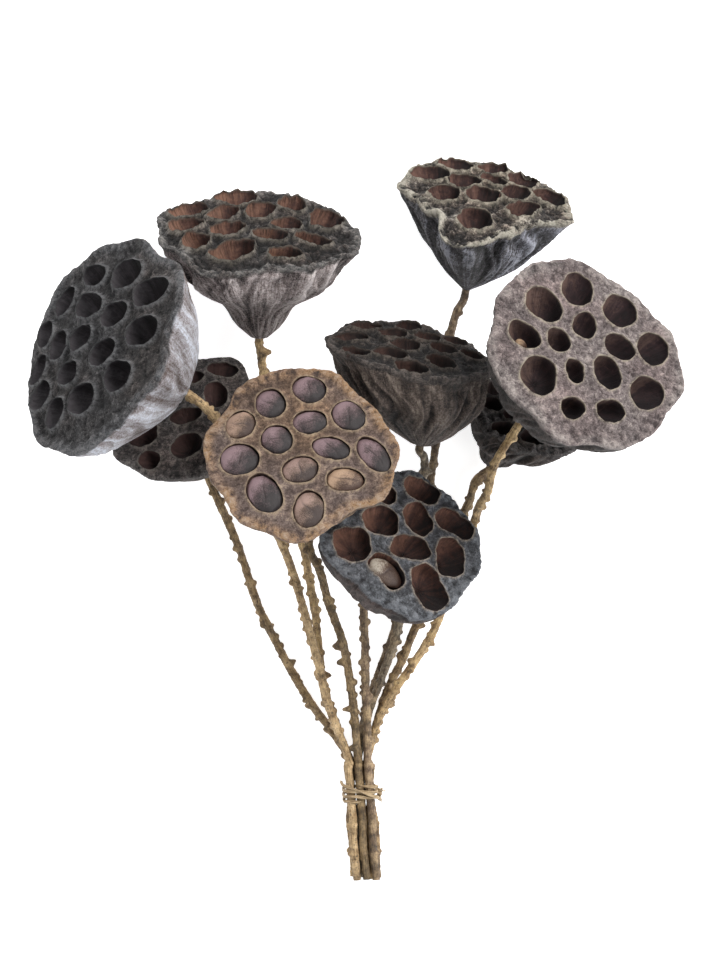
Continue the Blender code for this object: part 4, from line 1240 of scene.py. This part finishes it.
def tie_point(turns):
    """Place on the binding after so many turns: a rounded square round the bundle, stepping down it."""
    angle = math.tau * turns
    half = BUNDLE_PITCH + STEM_RADIUS + TIE_CLEARANCE + TIE_RADIUS
    x = math.sin(angle)
    z = math.cos(angle)
    reach = half / (abs(x) ** TIE_SQUARENESS + abs(z) ** TIE_SQUARENESS) ** (1 / TIE_SQUARENESS)
    y = TIE_Y - TIE_PITCH * turns
    return bundle_spot((0, 1), y) + Vector((x * reach, 0, z * reach))


def add_strands(shell, route, count, offset, radius, seed, twist=0.35, taper=0.0):
    """A few thin straws twisted together along a route."""
    sides = steady_sides(route)
    for strand in range(count):
        above = None
        for i, (place, (first, second)) in enumerate(zip(route, sides)):
            share = i / (len(route) - 1)
            turn = math.tau * strand / count + twist * i + 0.4 * noise.noise(Vector((i * 0.2, strand, seed)))
            wander = 1 + 0.35 * noise.noise(Vector((i * 0.15, strand * 3 + 9, seed)))
            middle = place + (first * math.cos(turn) + second * math.sin(turn)) * offset * wander
            uneven = 1 + 0.18 * noise.noise(Vector((i * 0.3, strand, seed + 5)))
            size = radius * uneven * (1 - taper * share)
            points = []
            grain = []
            for angle in turns_of(STRAND_SIDES):
                way = first * math.cos(angle) + second * math.sin(angle)
                flat = 1 + 0.2 * math.cos(2 * (angle - turn))
                points.append(tuple(middle + way * size * flat))
                grain.append((math.cos(angle), math.sin(angle), i * 0.05 + strand * 7 + seed * 3))
            ring = shell.add(points, grain)
            shell.join(above, ring, middle)
            above = ring
        shell.fan(above, shell.add([tuple(middle)], [(0, 0, 0)]))


def make_tie():
    """Twisted straw wound round the stems, with a slanting strand, a knot and loose ends at the right."""
    shell = Shell(())
    count = TIE_TURNS * TURN_STEPS
    route = [tie_point(i * TIE_TURNS / count) for i in range(count + 1)]
    for i, place in enumerate(route):
        place.z = max(place.z - TUCK * float(fade(min(i, count - i), 10, 0)), 0.95)
    add_strands(shell, route, 3, 0.42, STRAND_RADIUS, 1.0, twist=0.22)
    slanting = []
    for i in range(SLANT_STEPS + 1):
        share = i / SLANT_STEPS
        spot = tie_point(SLANT_START + SLANT_TURN * share)
        out = (spot - bundle_spot((0, 1), spot.y)).normalized()
        slanting.append(spot + out * 1.35 * TIE_RADIUS + Vector((0, SLANT_RISE * (1 - 2 * share), 0)))
    add_strands(shell, slanting, 2, 0.34, STRAND_RADIUS, 2.0, twist=0.3)
    knot = tie_point(KNOT_TURNS) + Vector((TIE_RADIUS * 1.2, 0, 1.0))
    loop = []
    for i in range(KNOT_STEPS + 1):
        angle = math.tau * i / KNOT_STEPS
        loop.append(knot + Vector(((math.sin(angle) + 2 * math.sin(2 * angle)) * KNOT_WIDTH,
                                   (math.cos(angle) - 2 * math.cos(2 * angle)) * KNOT_HEIGHT,
                                   -math.sin(3 * angle) * KNOT_DEPTH)))
    add_strands(shell, loop, 2, 0.3, STRAND_RADIUS, 3.0, twist=0.2)
    for number, (reach, curl) in enumerate(LOOSE_ENDS):
        reach = Vector(reach)
        points = [knot, knot + reach * 0.5 + Vector((0, curl * 4, 0.8)), knot + reach]
        add_strands(shell, smooth_route(points, 0.5), 2, 0.28, 0.8 * STRAND_RADIUS, 4.0 + number, taper=0.55)
    shell.build("tie", straw_material(), ["straw_tie"])


def make_light(name, place, size, power, colour):
    data = bpy.data.lights.new(name, "AREA")
    data.shape = "DISK"
    data.size = size
    data.energy = power
    data.color = colour
    light = bpy.data.objects.new(name, data)
    light.location = place
    light.rotation_euler = (Vector(LIT_PLACE) - light.location).to_track_quat("-Z", "Y").to_euler()
    bpy.context.scene.collection.objects.link(light)

def make_stage():
    """Plain pale floor, soft light and the camera straight above."""
    scene = bpy.context.scene
    camera_data = bpy.data.cameras.new("camera")
    camera_data.lens = CAMERA_LENS
    camera_data.sensor_width = SENSOR
    camera = bpy.data.objects.new("camera", camera_data)
    camera.location = Vector(CAMERA_PLACE) * MM
    scene.collection.objects.link(camera)
    scene.camera = camera

    mesh = bpy.data.meshes.new("floor")
    corners = [(x * FLOOR_HALF, y * FLOOR_HALF, 0) for x, y in ((-1, -1), (1, -1), (1, 1), (-1, 1))]
    mesh.from_pydata(corners, [], [(0, 1, 2, 3)])
    floor = bpy.data.objects.new("floor", mesh)
    floor.location.z = -0.0002
    scene.collection.objects.link(floor)
    look = Surface("floor_paper")
    tone = look.mix(look.noise(look.place(), 30.0), (250, 250, 250), (255, 255, 255))
    look.feed(look.shader.inputs["Emission Strength"], FLOOR_GLOW)
    mesh.materials.append(look.finish(tone, 0.9, look.noise(look.place(), 400.0), 0.05, 0.1))

    world = bpy.data.worlds.new("world")
    world.use_nodes = True
    background = world.node_tree.nodes["Background"]
    background.inputs["Color"].default_value = SKY
    background.inputs["Strength"].default_value = SKY_LIGHT
    scene.world = world
    scene.view_settings.view_transform = "Standard"
    for light in LIGHTS:
        make_light(*light)


def main():
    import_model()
    cad_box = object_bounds()
    Shell.box = np.array(cad_box)
    make_stage()
    seed_look = seed_material()
    for pod in PODS:
        places = make_head(pod)
        make_seeds(pod, places, seed_look)
        make_stem(pod)
    make_tie()


main()
